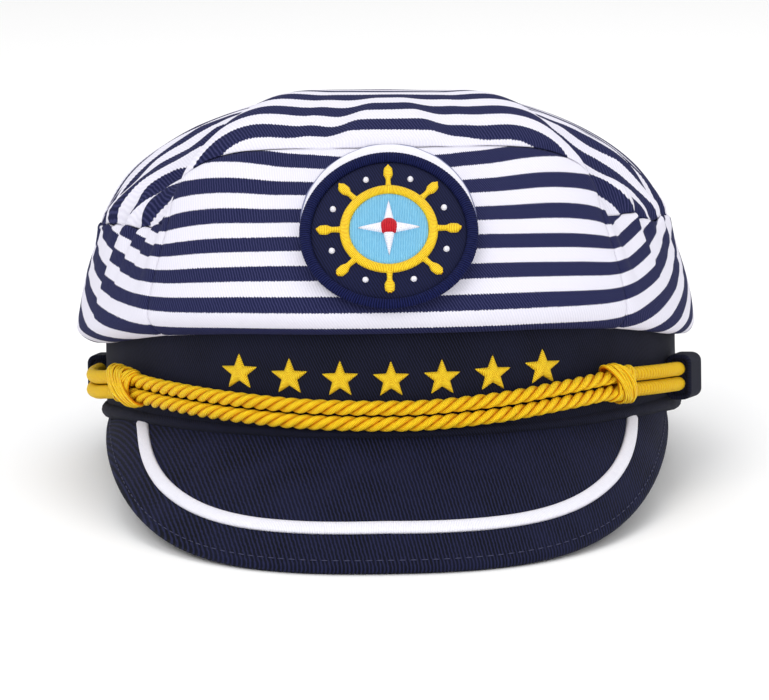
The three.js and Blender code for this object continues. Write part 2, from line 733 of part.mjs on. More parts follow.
// Work laid on a surface. place maps x, y and a height above the surface to a point.
function laidOn(geometry, place) {
  const position = geometry.getAttribute("position");
  const laid = geometry.clone();
  for (let i = 0; i < position.count; i++) {
    const point = place(position.getX(i), position.getY(i), position.getZ(i));
    laid.getAttribute("position").setXYZ(i, point.x, point.y, point.z);
  }
  laid.deleteAttribute("normal");
  laid.deleteAttribute("uv");
  return mergeVertices(laid, 1e-4);
}

// The front panel round the badge's centre: x to the right, y up the panel.
const frontRise = wallRise(0);
const badgeShare = (badgeHeight - frontBulgeHeight) / (frontSeamHeight - frontBulgeHeight);

function frontSurface(x, y) {
  const share = badgeShare + y / frontRise.getLength();
  let angle = 0;
  for (let i = 0; i < 6; i++) {
    const width = bandHalfWidth + frontPoint(angle, share).x;
    angle = THREE.MathUtils.radToDeg(Math.asin(THREE.MathUtils.clamp(x / width, -1, 1)));
  }
  const point = frontPoint(angle, share);
  return aroundBand(angle, point.x, point.y);
}

// The wall's out and height at an angle and a share of its rise, carried on straight past either end.
function frontPoint(angle, share) {
  const curve = wallRise(angle);
  const inside = THREE.MathUtils.clamp(share, 0, 1);
  const past = (share - inside) * curve.getLength();
  return curve.getPoint(inside).addScaledVector(curve.getTangent(inside), past);
}

function onFront(x, y, height) {
  const step = 1;
  const across = frontSurface(x + step, y).sub(frontSurface(x - step, y));
  const along = frontSurface(x, y + step).sub(frontSurface(x, y - step));
  return frontSurface(x, y).addScaledVector(across.cross(along).normalize(), height);
}

// A turned piece on the front panel, from a closed profile of radius and height.
function turned(profile, steps, shift = 0) {
  const geometry = new THREE.LatheGeometry(
    profile.map(([radius, height]) => new THREE.Vector2(radius, height)),
    steps,
  );
  geometry.rotateX(Math.PI / 2);
  return laidOn(geometry, (x, y, z) => onFront(x, y + shift, z));
}

const padFloor = gap;
const groundFloor = padFloor + padThickness + gap;
const groundTop = groundFloor + badgeThickness;
const stitchFloor = groundTop + gap;
const borderInner = badgeRadius - badgeBorderWidth;

const padProfile = [
  [0, padFloor],
  [padRadius * 0.5, padFloor],
  [padRadius * 0.95, padFloor],
  [padRadius, padFloor + padThickness * 0.5],
  [padRadius * 0.95, padFloor + padThickness],
  [padRadius * 0.5, padFloor + padThickness],
  [0, padFloor + padThickness],
];

const groundProfile = [
  [0, groundFloor],
  [borderInner * 0.5, groundFloor],
  [borderInner - gap, groundFloor],
  [borderInner - gap, groundTop],
  [borderInner * 0.5, groundTop],
  [0, groundTop],
];

const borderProfile = even(0, 360, borderSides).map((turn) => [
  badgeRadius - badgeBorderWidth / 2 + (badgeBorderWidth / 2) * Math.cos(radians(turn)),
  groundFloor + badgeBorderHeight / 2 + (badgeBorderHeight / 2) * Math.sin(radians(turn)),
]);

// An outline raised as satin stitch on the badge or the band.
function stitched(shape, floor, height, place, curveSegments = 6) {
  const geometry = new THREE.ExtrudeGeometry(shape, { depth: height, bevelEnabled: false, curveSegments });
  geometry.translate(0, 0, floor);
  return laidOn(geometry, place);
}

function starShape(points, outer, inner) {
  const corners = even(0, 2 * points, 2 * points).slice(0, 2 * points);
  return new THREE.Shape(
    corners.map((corner) => {
      const reach = corner % 2 ? inner : outer;
      const turn = (corner * Math.PI) / points;
      return new THREE.Vector2(reach * Math.sin(turn), reach * Math.cos(turn));
    }),
  );
}

// The wheel: rim and handled spokes in one outline, open at the hub's field.
function wheelShape() {
  const [rimOuter, rimInner] = [wheelRadius, wheelRadius - wheelRimWidth];
  const half = spokeWidth / 2;
  const outline = [];
  for (let spoke = 0; spoke < spokeCount; spoke++) {
    const turn = (spoke * 2 * Math.PI) / spokeCount;
    const local = [
      [-half, rimOuter],
      [-half * 0.8, rimOuter + handleNeck],
      [-half * 1.5, handleReach - handleTip],
      [-half * 0.9, handleReach],
      [half * 0.9, handleReach],
      [half * 1.5, handleReach - handleTip],
      [half * 0.8, rimOuter + handleNeck],
      [half, rimOuter],
    ];
    local.forEach(([x, y]) => outline.push(new THREE.Vector2(x, y).rotateAround(new THREE.Vector2(), -turn)));
    const next = turn + Math.PI / spokeCount;
    outline.push(new THREE.Vector2(0, rimOuter).rotateAround(new THREE.Vector2(), -next));
  }
  const shape = new THREE.Shape(outline);
  shape.holes.push(new THREE.Path().absarc(0, 0, rimInner, 0, Math.PI * 2));
  return shape;
}

// A flat stitched disc on the badge, from a floor up.
const discProfile = (radius, floor) => [
  [0, floor],
  [radius, floor],
  [radius, floor + stitchHeight],
  [0, floor + stitchHeight],
];

// Stars on the band, x along its face from the front's centre.
function onBand(x, y, height) {
  const angle = THREE.MathUtils.radToDeg(Math.asin(THREE.MathUtils.clamp(x / bandHalfWidth, -1, 1)));
  return aroundBand(angle, height, starHeight + y);
}

function starGeometry(index) {
  const place = (2 * index) / (starCount - 1) - 1;
  const x = (place * starPitch * (starCount - 1)) / 2;
  const lift = starRowLift * place ** 2;
  const star = starShape(5, starRadius, starRadius * starWaist);
  return stitched(star, gap, stitchHeight, (dx, dy, height) => onBand(x + dx, lift + dy, height));
}

// Materials
const striped = new THREE.MeshStandardMaterial({ color: 0xe6e6f2, roughness: 0.85 });
const whiteCotton = new THREE.MeshStandardMaterial({ color: 0xf2f1fa, roughness: 0.85 });
const navyTwill = new THREE.MeshStandardMaterial({ color: 0x14172f, roughness: 0.85 });
const navyBorder = new THREE.MeshStandardMaterial({ color: 0x1a1c3c, roughness: 0.7 });
const goldCord = new THREE.MeshStandardMaterial({ color: 0xf2a90c, roughness: 0.4 });
const goldThread = new THREE.MeshStandardMaterial({ color: 0xf0b419, roughness: 0.45 });
const whiteThread = new THREE.MeshStandardMaterial({ color: 0xf4f4fb, roughness: 0.5 });
const blueThread = new THREE.MeshStandardMaterial({ color: 0x58b4de, roughness: 0.5 });
const redThread = new THREE.MeshStandardMaterial({ color: 0xc8202c, roughness: 0.5 });

const cap = new THREE.Group();

function add(name, geometry, material) {
  const mesh = new THREE.Mesh(geometry, material);
  mesh.name = name;
  cap.add(mesh);
}

const half = frontPanelHalfAngle;
add("crown_front", panelGeometry(-half, half), striped);
add("crown_side_left", panelGeometry(-180, -half), striped);
add("crown_side_right", panelGeometry(half, 180), striped);
add("crown_tip", tipGeometry(), striped);
add("band", bandGeometry(), navyTwill);
add("band_welt", geometryOf(solidOf(weltGeometry()).subtract(floorSlab(pressDepth))), navyTwill);
add("peak", peakGeometry(), navyTwill);
add("peak_braid", braidGeometry(), whiteThread);
for (const [name, level] of Object.entries(cordLevels)) {
  add(name, strandGeometry(level, cordDiameter / 2), goldCord);
}
for (const [name, angle] of Object.entries(knotAngles)) add(name, knotGeometry(angle), goldCord);
for (const [name, angle] of Object.entries(keeperAngles)) add(name, keeperGeometry(angle), navyTwill);
add("badge_pad", turned(padProfile, badgeSteps, padShift), whiteCotton);
add("badge_ground", turned(groundProfile, badgeSteps), navyTwill);
add("badge_border", turned(borderProfile, badgeSteps), navyBorder);
add("emblem_wheel", stitched(wheelShape(), stitchFloor, stitchHeight, onFront, 12), goldThread);
const fieldRadius = wheelRadius - wheelRimWidth - gap;
add("emblem_field", turned(discProfile(fieldRadius, stitchFloor), badgeSteps), blueThread);
const compassFloor = stitchFloor + stitchHeight + gap;
const compass = starShape(spokeCount / 2, compassRadius, compassWaist);
add("emblem_compass", stitched(compass, compassFloor, stitchHeight, onFront), whiteThread);
const hubFloor = compassFloor + stitchHeight + gap;
add("emblem_hub", turned(discProfile(hubRadius, hubFloor), hubSteps), redThread);
for (let index = 0; index < starCount; index++) add(`star_${index + 1}`, starGeometry(index), goldThread);

// Tip the cap onto its rest plane, then put the bottom centre of its box at the origin.
cap.rotation.x = -restTilt;
const part = new THREE.Group();
part.add(cap);
part.updateMatrixWorld(true);
const box = new THREE.Box3().setFromObject(part, true);
const centre = box.getCenter(new THREE.Vector3());
cap.position.set(-centre.x, -centre.y, -box.min.z);

export default part;
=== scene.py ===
# %% [markdown]
# # A yachting cap of striped cotton
# The cap is sewn from flat cloth: a stiffened front panel, two side panels and a floppy top, all of the
# same striped cotton, on a navy twill band with a stiff peak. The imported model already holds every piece
# at its size and place, so this script gives each one the shape and finish that the eye expects of cloth.

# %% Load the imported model
from bisect import bisect_left, bisect_right
from functools import cache
from itertools import accumulate, pairwise
from math import asin, atan2, copysign, cos, degrees, hypot, pi, radians, sin, tan, tau

import bmesh
import bpy
from mathutils import Matrix, Vector, noise


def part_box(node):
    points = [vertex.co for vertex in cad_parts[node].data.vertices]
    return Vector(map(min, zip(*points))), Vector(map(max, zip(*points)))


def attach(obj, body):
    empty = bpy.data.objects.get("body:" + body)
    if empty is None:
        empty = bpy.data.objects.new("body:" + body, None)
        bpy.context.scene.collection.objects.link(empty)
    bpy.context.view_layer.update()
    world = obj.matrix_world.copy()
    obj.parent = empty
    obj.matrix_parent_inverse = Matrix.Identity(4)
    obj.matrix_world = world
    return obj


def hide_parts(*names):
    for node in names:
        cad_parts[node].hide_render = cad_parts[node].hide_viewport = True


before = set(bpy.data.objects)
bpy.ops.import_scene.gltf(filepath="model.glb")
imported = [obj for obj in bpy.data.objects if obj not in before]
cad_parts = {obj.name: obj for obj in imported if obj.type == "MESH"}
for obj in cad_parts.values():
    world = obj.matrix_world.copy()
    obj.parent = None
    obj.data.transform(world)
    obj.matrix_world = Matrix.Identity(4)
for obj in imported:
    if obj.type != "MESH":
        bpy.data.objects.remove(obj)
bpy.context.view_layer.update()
scene = bpy.context.scene


def put(name, data):
    """A new object in the scene."""
    made = bpy.data.objects.new(name, data)
    scene.collection.objects.link(made)
    return made


def meshed(name, grid):
    """The mesh of a bmesh, which is then freed."""
    mesh = bpy.data.meshes.new(name)
    grid.to_mesh(mesh)
    grid.free()
    return mesh


# %% [markdown]
# A cap is easiest to describe level, with its band's lower edge flat and its sizes in millimetres. It
# rests tipped forward, on its peak and on the back of its band. One matrix carries a level point to the
# resting cap, and the band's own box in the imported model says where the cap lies.

# %% Level millimetres to the resting cap
MM = 0.001
HALF_WIDTH = 86.4
HALF_LENGTH = 102.4
BAND_WALL = 2.4
BAND_HEIGHT = 32
WELT_RADIUS = 2.1
WELT_SPREAD = 0.3
GAP = 0.3
PEAK_REACH = 32
PEAK_DROP = 34

band_bottom = WELT_RADIUS + GAP
front_reach = HALF_LENGTH + PEAK_REACH
rest_tilt = atan2(PEAK_DROP - WELT_RADIUS, HALF_LENGTH + front_reach)
tip_back = Matrix.Rotation(-rest_tilt, 4, "X")
low, high = (Vector(corner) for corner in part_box("band"))
band_middle = Vector((0, 0, (band_bottom + BAND_HEIGHT) / 2 * MM))
CAP = Matrix.Translation((low + high) / 2 - tip_back @ band_middle) @ tip_back @ Matrix.Scale(MM, 4)
ring_centre = CAP @ Vector((0, 0, 0))
print("tilt", round(degrees(rest_tilt), 3), "ring centre", [round(c, 5) for c in ring_centre])

# %% [markdown]
# The photograph is taken from the front with a long lens, a little above the cap's own level. The camera
# is turned until the band's centre falls where the photograph has it, and leans by a degree.

# %% Camera
FRAME_WIDTH = 769
FRAME_HEIGHT = 700
CAMERA_AWAY = 1.05
CAMERA_RISE = radians(5)
CAMERA_LEAN = radians(-0.9)
FOCAL_PIXELS = 3433.5
SENSOR = 36
RING_PIXEL = (391.5, 407)

rise = rest_tilt + CAMERA_RISE
to_camera = Vector((0, -cos(rise), sin(rise)))
level_right = Vector((1, 0, 0))
level_up = to_camera.cross(level_right)
right = level_right * cos(CAMERA_LEAN) + level_up * sin(CAMERA_LEAN)
up = level_up * cos(CAMERA_LEAN) - level_right * sin(CAMERA_LEAN)
aim_right = (FRAME_WIDTH / 2 - RING_PIXEL[0]) / FOCAL_PIXELS
aim_up = (RING_PIXEL[1] - FRAME_HEIGHT / 2) / FOCAL_PIXELS
forward = (-to_camera + right * aim_right + up * aim_up).normalized()
up = (up - forward * up.dot(forward)).normalized()
right = forward.cross(up)
camera_data = bpy.data.cameras.new("camera")
camera_data.sensor_width = SENSOR
camera_data.sensor_fit = "HORIZONTAL"
camera_data.lens = SENSOR * FOCAL_PIXELS / FRAME_WIDTH
camera = put("camera", camera_data)
camera.matrix_world = Matrix((right, up, -forward)).transposed().to_4x4()
camera.location = ring_centre + to_camera * CAMERA_AWAY
scene.camera = camera
print("lens", round(camera_data.lens, 1), "mm at", [round(c, 3) for c in camera.location])

# %% [markdown]
# Product photographs of cloth use large soft lights from all sides, so that a white stripe stays white
# and a fold shows as a soft shade. The floor is a pale sheet that runs out of sight.

# %% Floor and lights
FLOOR_HALF = 6


def hex_colour(code):
    """A colour picked on a screen, such as #1C1F3D, as the linear colour that a shader wants."""
    channels = (int(code[i : i + 2], 16) / 255 for i in (1, 3, 5))
    linear = [c / 12.92 if c <= 0.04045 else ((c + 0.055) / 1.055) ** 2.4 for c in channels]
    return (*linear, 1)


def add(tree, kind, inputs=None, **settings):
    """Adds a node. inputs gives each socket, by name or number, a value or another node's output."""
    made = tree.nodes.new(kind)
    for name, value in settings.items():
        setattr(made, name, value)
    for key, value in (inputs or {}).items():
        if isinstance(value, bpy.types.NodeSocket):
            tree.links.new(value, made.inputs[key])
        else:
            made.inputs[key].default_value = value
    return made


def new_material(name):
    """An empty material and the tree that its nodes go into."""
    material = bpy.data.materials.new(name)
    material.use_nodes = True
    material.node_tree.nodes.clear()
    return material, material.node_tree


def blotches(tree, scale, detail, place=None):
    """Noise from 0 to 1, on the flat cloth or else in the object's own space."""
    inputs = {"Scale": scale, "Detail": detail}
    if place:
        inputs["Vector"] = place
    return add(tree, "ShaderNodeTexNoise", inputs).outputs[0]


def blend_colours(tree, share, first, second):
    ends = [hex_colour(end) if isinstance(end, str) else end for end in (first, second)]
    return add(tree, "ShaderNodeMix", {0: share, 6: ends[0], 7: ends[1]}, data_type="RGBA").outputs[2]


def show(tree, colour, roughness, more=None):
    """Ends a material. more gives further sockets of its shader."""
    inputs = {"Base Color": colour, "Roughness": roughness, **(more or {})}
    shader = add(tree, "ShaderNodeBsdfPrincipled", inputs)
    add(tree, "ShaderNodeOutputMaterial", {"Surface": shader.outputs[0]})


paper, tree = new_material("matt_white_paper")
show(tree, blend_colours(tree, blotches(tree, 3, 1), "#FAFAFA", "#FDFDFD"), 0.9)

floor_grid = bmesh.new()
bmesh.ops.create_grid(floor_grid, x_segments=1, y_segments=1, size=FLOOR_HALF)
floor_mesh = meshed("floor", floor_grid)
floor_mesh.materials.append(paper)
floor = put("floor", floor_mesh)


def soft_light(name, place, size, watts):
    """A square lamp that faces the cap."""
    data = bpy.data.lights.new(name, "AREA")
    data.size = size
    data.energy = watts
    lamp = put(name, data)
    lamp.location = place
    lamp.rotation_euler = (ring_centre - Vector(place)).to_track_quat("-Z", "Y").to_euler()


soft_light("key_light", (-0.7, -1.3, 1.2), 1.0, 9)
soft_light("fill_light", (1.1, -1.1, 0.9), 1.0, 4)
soft_light("top_light", (0, 0.5, 1.6), 1.2, 6.5)
soft_light("front_light", (0.2, -1.7, 0.35), 0.8, 4)
world = bpy.data.worlds.new("studio")
world.use_nodes = True
background = world.node_tree.nodes["Background"]
background.inputs["Color"].default_value = (1, 1, 1, 1)
background.inputs["Strength"].default_value = 0.82
scene.world = world
scene.view_settings.view_transform = "Standard"

# %% [markdown]
# Every cloth piece starts as a flat grid and is carried onto its surface point by point, as cloth is. Each
# point keeps its place on the flat cloth, in millimetres, in a UV map, so that stripes and weave follow
# the cloth. Small folds are then pressed in along the surface's own normals.

# %% From a flat grid to a piece
WELD = 1e-6


def clamp(value):
    return min(1, max(0, value))


def shaped_grid(columns, rows, surface, relief=None, floor_level=None, crease=None):
    """A flat grid carried onto a surface.

    surface takes how far across and up a point is, from 0 to 1, and gives the point in level millimetres
    and its place on the flat cloth. relief gives how far the point then stands out, in millimetres, and
    crease how deep it lies between threads, from 0 to 1, which the material reads to paint shade there.
    """
    grid = bmesh.new()
    depth = grid.verts.layers.float.new("crease") if crease else None
    bmesh.ops.create_grid(grid, x_segments=columns, y_segments=rows, size=1)
    shares = {vert: ((vert.co.x + 1) / 2, (vert.co.y + 1) / 2) for vert in grid.verts}
    on_cloth = {}
    for vert, share in shares.items():
        point, on_cloth[vert] = surface(*share)
        vert.co = CAP @ Vector(point)
        if crease:
            vert[depth] = clamp(crease(*share))
    layer = grid.loops.layers.uv.new("cloth")
    for face in grid.faces:
        for loop in face.loops:
            loop[layer].uv = on_cloth[loop.vert]
    bmesh.ops.remove_doubles(grid, verts=grid.verts, dist=WELD)
    if relief:
        grid.normal_update()
        for vert in grid.verts:
            vert.co += vert.normal * relief(*shares[vert]) * MM
    if floor_level is not None:
        for vert in grid.verts:
            vert.co.z = max(vert.co.z, floor_level)
    return grid


def close_ends(grid):
    """Fills the open ends of a tube."""
    edges = [edge for edge in grid.edges if edge.is_boundary]
    bmesh.ops.holes_fill(grid, edges=edges, sides=0)


def joined(grids):
    """Several bmeshes as one."""
    whole = grids[0]
    for part in grids[1:]:
        mesh = meshed("part", part)
        whole.from_mesh(mesh)
        bpy.data.meshes.remove(mesh)
    return whole


def faced_out(grid):
    """Turns every face of a closed shape outwards."""
    bmesh.ops.recalc_face_normals(grid, faces=grid.faces)
    return grid


def piece(name, grid, material, slot, *nodes):
    """Makes an object of a bmesh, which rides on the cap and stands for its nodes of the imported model."""
    mesh = meshed(name, grid)
    mesh.materials.append(material)
    mesh.polygons.foreach_set("use_smooth", [True] * len(mesh.polygons))
    made = put(name, mesh)
    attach(made, "root")
    if nodes:
        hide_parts(*nodes)
    print(name, len(mesh.polygons), "faces")
    return made


def give_wall(made, thickness):
    """Gives a sheet its thickness, inwards from the modelled face."""
    wall = made.modifiers.new("cloth_wall", "SOLIDIFY")
    wall.thickness = thickness * MM
    wall.offset = -1
    wall.use_even_offset = False


# %% [markdown]
# The cap's outline is an ellipse with a few lengths that change round it, such as the height of the top
# seam or how far the cloth hangs over the band. Each is a short table against the angle from the front
# centre, and a monotone cubic runs smoothly through it without overshooting at the sharp front corners.

# %% Tables and smooth columns
def table(names, *rows):
    """One dict for each row."""
    return [dict(zip(names.split(), row)) for row in rows]


SECTIONS = table(
    "angle rise fall inset shoulder crown crest sag puff lift",
    (0, 1, 0, 1, 0.3, 0.58, 1, 0, 1, 1),
    (25, 1, 0, 0.84, 0.29, 0.56, 0.7, 0.02, 1, 1),
    (35, 0.97, 0, 0.56, 0.28, 0.55, 0.4, 0.08, 1.05, 1),
    (42, 0.87, 0, 0.38, 0.28, 0.55, 0.2, 0.16, 1.05, 1),
    (48, 0.6, 0, 0.25, 0.29, 0.55, 0, 0.26, 1.05, 0.95),
    (52, 0.1, 0, 0.17, 0.32, 0.55, 0, 0.36, 1, 0.9),
    (70, 0.02, 0, 0.05, 0.32, 0.55, 0, 0.8, 0.98, 0.75),
    (90, 0, 0, 0, 0.32, 0.55, 0, 1, 0.98, 0.7),
    (130, 0, 0.5, 0.02, 0.3, 0.56, 0, 0.8, 1.1, 0.75),
    (180, 0, 1, 0.08, 0.3, 0.56, 0, 0.6, 1.25, 0.8),
)


def column(rows, name, key="angle"):
    """A monotone cubic through one column of a table."""
    xs = [row[key] for row in rows]
    ys = [row[name] for row in rows]
    last = len(xs) - 1
    slopes = [(ys[i + 1] - ys[i]) / (xs[i + 1] - xs[i]) for i in range(last)]
    tangents = [0.0] * (last + 1)
    for i in range(1, last):
        before, after = slopes[i - 1], slopes[i]
        if before * after > 0:
            tangents[i] = 2 * before * after / (before + after)

    @cache
    def at(x):
        x = min(max(x, xs[0]), xs[last])
        i = min(max(bisect_left(xs, x) - 1, 0), last - 1)
        span = xs[i + 1] - xs[i]
        t = (x - xs[i]) / span
        return (
            ys[i] * (2 * t**3 - 3 * t**2 + 1)
            + tangents[i] * span * (t**3 - 2 * t**2 + t)
            + ys[i + 1] * (3 * t**2 - 2 * t**3)
            + tangents[i + 1] * span * (t**3 - t**2)
        )

    return at


section = {name: column(SECTIONS, name) for name in SECTIONS[0] if name != "angle"}


def signed(angle):
    """An angle brought to -180 to 180."""
    return (angle + 180) % 360 - 180


def bell(distance, width):
    """A bell of height 1 that is 0 beyond twice its width."""
    return (1 + cos(pi * min(1, abs(distance) / (2 * width)))) / 2


def mix(start, end, share):
    return start + (end - start) * share


def turned(first, second, turn):
    """The direction at a turn from the first of two directions to the second."""
    return first * cos(turn) + second * sin(turn)


def full_turn(across):
    """The angle round the cap, from the back by the left, the front and the right to the back."""
    return mix(-180, 180, across)


def around(angle, out, height):
    """A level point at an angle round the band, out from its face along the ellipse's normal."""
    a = radians(angle)
    normal = Vector((sin(a) / HALF_WIDTH, -cos(a) / HALF_LENGTH)).normalized()
    x = HALF_WIDTH * sin(a) + normal.x * out
    return Vector((x, -HALF_LENGTH * cos(a) + normal.y * out, height))


def cubic(points, t):
    """A point of a Bezier curve of four points."""
    a, b, c, d = points
    s = 1 - t
    return a * s**3 + b * 3 * s * s * t + c * 3 * s * t * t + d * t**3


def cubic_way(points, t):
    """The direction of a Bezier curve of four points."""
    a, b, c, d = points
    s = 1 - t
    return ((b - a) * 3 * s * s + (c - b) * 6 * s * t + (d - c) * 3 * t * t).normalized()


def angle_at(x, half_width):
    """The angle at which an ellipse of a half width has a given x."""
    return degrees(asin(max(-1, min(1, x / half_width))))


def distances(points):
    """The distance of each point of a line from its start."""
    return list(accumulate(((b - a).length for a, b in pairwise(points)), initial=0.0))


def length_to(angle, spot_at):
    """The length of a line from angle 0 to an angle, below 0 to the left."""
    steps = max(1, round(abs(angle)))
    return copysign(distances([spot_at(angle * i / steps) for i in range(steps + 1)])[-1], angle)


def ruffle(x, y, scale, *, seed):
    """Smooth noise from -1 to 1. scale is the size of a wave in the unit of x and y."""
    return noise.noise(Vector((x / scale, y / scale, seed)))


print(len(SECTIONS), "crown sections")

# %% [markdown]
# The crown's wall hooks over the band's top, hangs outside it in a soft fold, puffs out and then leans in
# to the seam with the tip. At the front it is high and leans far back, at the sides it is low and upright,
# and between the two it drops within a few degrees: that is the cap's square front corner.

# %% Crown wall
FRONT_HALF_ANGLE = 50
CROWN_HEIGHT = 96
FRONT_SEAM = 80.5
SIDE_SEAM = 57.5
BACK_SEAM = 50
FRONT_INSET = 27
OVERHANG = 7.4
LOPSIDEDNESS = 1.4
FRONT_BULGE = 36
FOLD_RADIUS = 2.2
FOLD_HEIGHT = 29.3
SIDE_SAG = 7.4
TUCK = 7
CREST_LIFT = 1.2
PLEAT_DEPTH = 2.2
LAP_STEEPNESS = 1.6
PLEAT_ON_DOME = 0.6
DRAPE_DEPTH = 3.4
CLOTH_WALL = 1.2
TIP_SEAM_GAP = 0.36
SEAM_WAVE = 1.7
SEAM_WAVE_SIZE = 5.5
SEAM_RIPPLE = 0.6
SEAM_RIPPLE_SIZE = 2.6
GATHER_START = 49
GATHER_REACH = 6
LOW_HANDLE = (0.12, 0.3)
TOP_HANDLE = (0.36, 0.32)
FOLD_STEPS = 6
PUFF_STEPS = 10
RISE_STEPS = 52
HOOK_POINTS = 3
BULGE_ROW = HOOK_POINTS + FOLD_STEPS + PUFF_STEPS
WALL_ROWS = BULGE_ROW + RISE_STEPS

PLEATS = table(
    "angle depth width down up take",
    (-55, 0.7, 2, 0.7, 0.28, 1.2),
    (-60, 0.7, 2, 0.9, 0.26, 1.4),
    (-66, 1, 3, 1.1, 0.24, 3.4),
    (-80, 0.7, 4, 0.8, 0.22, 2),
    (53, 0.5, 2, 0.5, 0.24, 0),
    (61, 1, 3, 0.7, 0.26, 3.4),
    (78, 0.8, 4, 0.7, 0.3, 2),
    (117, 0.7, 6, 0.6, 0.3, 2),
    (-126, 0.7, 6, 0.6, 0.3, 2),
    (156, 0.6, 6, 0.5, 0.25, 1),
    (-156, 0.6, 6, 0.5, 0.25, 1),
)


def fuller(angle):
    """The cap's left side is a little fuller than its right."""
    return -LOPSIDEDNESS * sin(radians(angle))


def seam_wave(angle):
    """The gathered seam wanders up and down, except along the stiff front."""
    gathered = clamp((abs(signed(angle)) - GATHER_START) / GATHER_REACH)
    ripple = SEAM_RIPPLE * ruffle(angle, 0, SEAM_RIPPLE_SIZE, seed=1.9)
    return gathered * SEAM_WAVE * (ruffle(angle, 0, SEAM_WAVE_SIZE, seed=6.3) + ripple)


def tip_seam(angle):
    """The seam between wall and tip, as out and height."""
    away = abs(signed(angle))
    rise = section["rise"](away) * (FRONT_SEAM - SIDE_SEAM)
    fall = section["fall"](away) * (BACK_SEAM - SIDE_SEAM)
    height = SIDE_SEAM + rise + fall + seam_wave(signed(angle))
    return Vector((fuller(angle) - section["inset"](away) * FRONT_INSET, height))


@cache
def wall_rise(angle):
    """The four points of the wall's curve from its bulge to the seam, as out and height."""
    away = abs(signed(angle))
    fold = FOLD_HEIGHT - section["sag"](away) * SIDE_SAG
    reach = section["puff"](away) * OVERHANG + fuller(angle)
    bulge = fold + section["lift"](away) * (FRONT_BULGE - FOLD_HEIGHT)
    seam = tip_seam(angle)
    climb = seam.y - bulge
    lean = reach - seam.x
    return (
        Vector((reach, bulge)),
        Vector((reach - LOW_HANDLE[0] * lean, bulge + LOW_HANDLE[1] * climb)),
        Vector((seam.x + TOP_HANDLE[0] * lean, seam.y - TOP_HANDLE[1] * climb)),
        seam,
    )


@cache
def wall_path(angle):
    """The wall's whole section at an angle: hooked over the band, round the fold, out and up."""
    fold = FOLD_HEIGHT - section["sag"](abs(signed(angle))) * SIDE_SAG
    rise = wall_rise(angle)
    inside = -BAND_WALL - GAP
    hook = [(inside, BAND_HEIGHT - TUCK), (inside, BAND_HEIGHT + GAP), (GAP, BAND_HEIGHT + GAP)]
    middle = Vector((GAP + FOLD_RADIUS, fold + FOLD_RADIUS))
    turns = [pi * (1 + 0.5 * i / FOLD_STEPS) for i in range(FOLD_STEPS)]
    under = [middle + FOLD_RADIUS * Vector((cos(turn), sin(turn))) for turn in turns]
    puff = (
        Vector((middle.x, fold)),
        Vector((middle.x + FOLD_RADIUS, fold)),
        Vector((rise[0].x, (fold + rise[0].y) / 2)),
        rise[0],
    )
    return [
        *(Vector(point) for point in hook),
        *under,
        *(cubic(puff, i / PUFF_STEPS) for i in range(PUFF_STEPS)),
        *(cubic(rise, i / RISE_STEPS) for i in range(RISE_STEPS + 1)),
    ]


@cache
def arc_lengths(angle):
    """The distance of each point of the wall's section from its bulge, along the cloth."""
    lengths = distances(wall_path(angle))
    return [length - lengths[BULGE_ROW] for length in lengths]


def lap(distance, width):
    """A pleat's section: the cloth drops sharply at the lap and rises slowly beyond it."""
    drop = clamp(distance / LAP_STEEPNESS + 0.5)
    return drop * drop * (3 - 2 * drop) * max(0, 1 - max(0, distance) / (2.6 * width)) ** 2


def pleat_at(angle, share, side):
    """How deep the pleats are. share is the distance from the seam, of the wall or of the dome."""
    total = 0
    for pleat in PLEATS:
        beyond = signed(angle - pleat["angle"]) * copysign(1, pleat["angle"])
        along = max(0, 1 - share / pleat[side])
        total += pleat["depth"] * PLEAT_DEPTH * lap(beyond, pleat["width"]) * along * along
    return total


# %% [markdown]
# Stripes are woven straight along the cloth, so on the cap they show how each panel was cut. The front
# panel was cut level and droops a little at its upper ends, the side panels were cut to climb to the
# back, and the tip's stripes run from side to side. A pleat swallows some cloth, so the stripes jump
# there. The UV map holds the cloth's millimetres.

# %% Cloth coordinates of the wall
DROOP = 3.5
DROOP_AT = 62
CLIMB = dict(left=0.35, right=0.5)
CLIMB_START = 45.5
CLIMB_START_AT_TOP = 41.5
TURN_PER_LEAN = 0.81
KINK_SOFTNESS = dict(top=0.5, bottom=6)
WALL_PHASE = 0.5


@cache
def round_length(angle):
    """The distance round the band from the front centre."""
    return length_to(angle, lambda stop: around(stop, OVERHANG, 0))


def wall_stripe(angle, row):
    """How far up the striped cloth a point of the wall lies, in millimetres."""
    point = wall_path(angle)[row]
    up_side = clamp((point.y - FRONT_BULGE) / (SIDE_SEAM - FRONT_BULGE))
    across = min(1, abs(around(angle, point.x, 0).x) / DROOP_AT)
    lean = max(0, wall_rise(angle)[0].x - point.x) if row > BULGE_ROW else 0
    start = mix(CLIMB_START, CLIMB_START_AT_TOP, up_side)
    soft = mix(KINK_SOFTNESS["bottom"], KINK_SOFTNESS["top"], up_side)
    past = abs(angle) - TURN_PER_LEAN * lean - start
    past = (past + hypot(past, soft)) / 2
    climb = CLIMB["left" if angle < 0 else "right"] * past * round_length(90) / 90
    from_seam = 1 - max(0, row - BULGE_ROW) / RISE_STEPS
    for pleat in PLEATS:
        beyond = (angle - pleat["angle"]) * copysign(1, pleat["angle"])
        climb += pleat["take"] * clamp(beyond * 2 + 0.5) * max(0, 1 - from_seam / pleat["down"])
    return arc_lengths(angle)[row] + DROOP * up_side * across**3 - climb + WALL_PHASE


# %% [markdown]
# A sewn wall is never smooth. The seam gathers it into small puckers, deeper where more cloth was eased
# in, and the soft cotton holds faint dents elsewhere. Both are small, so noise is enough, as long as it
# dies out towards the stiff front.

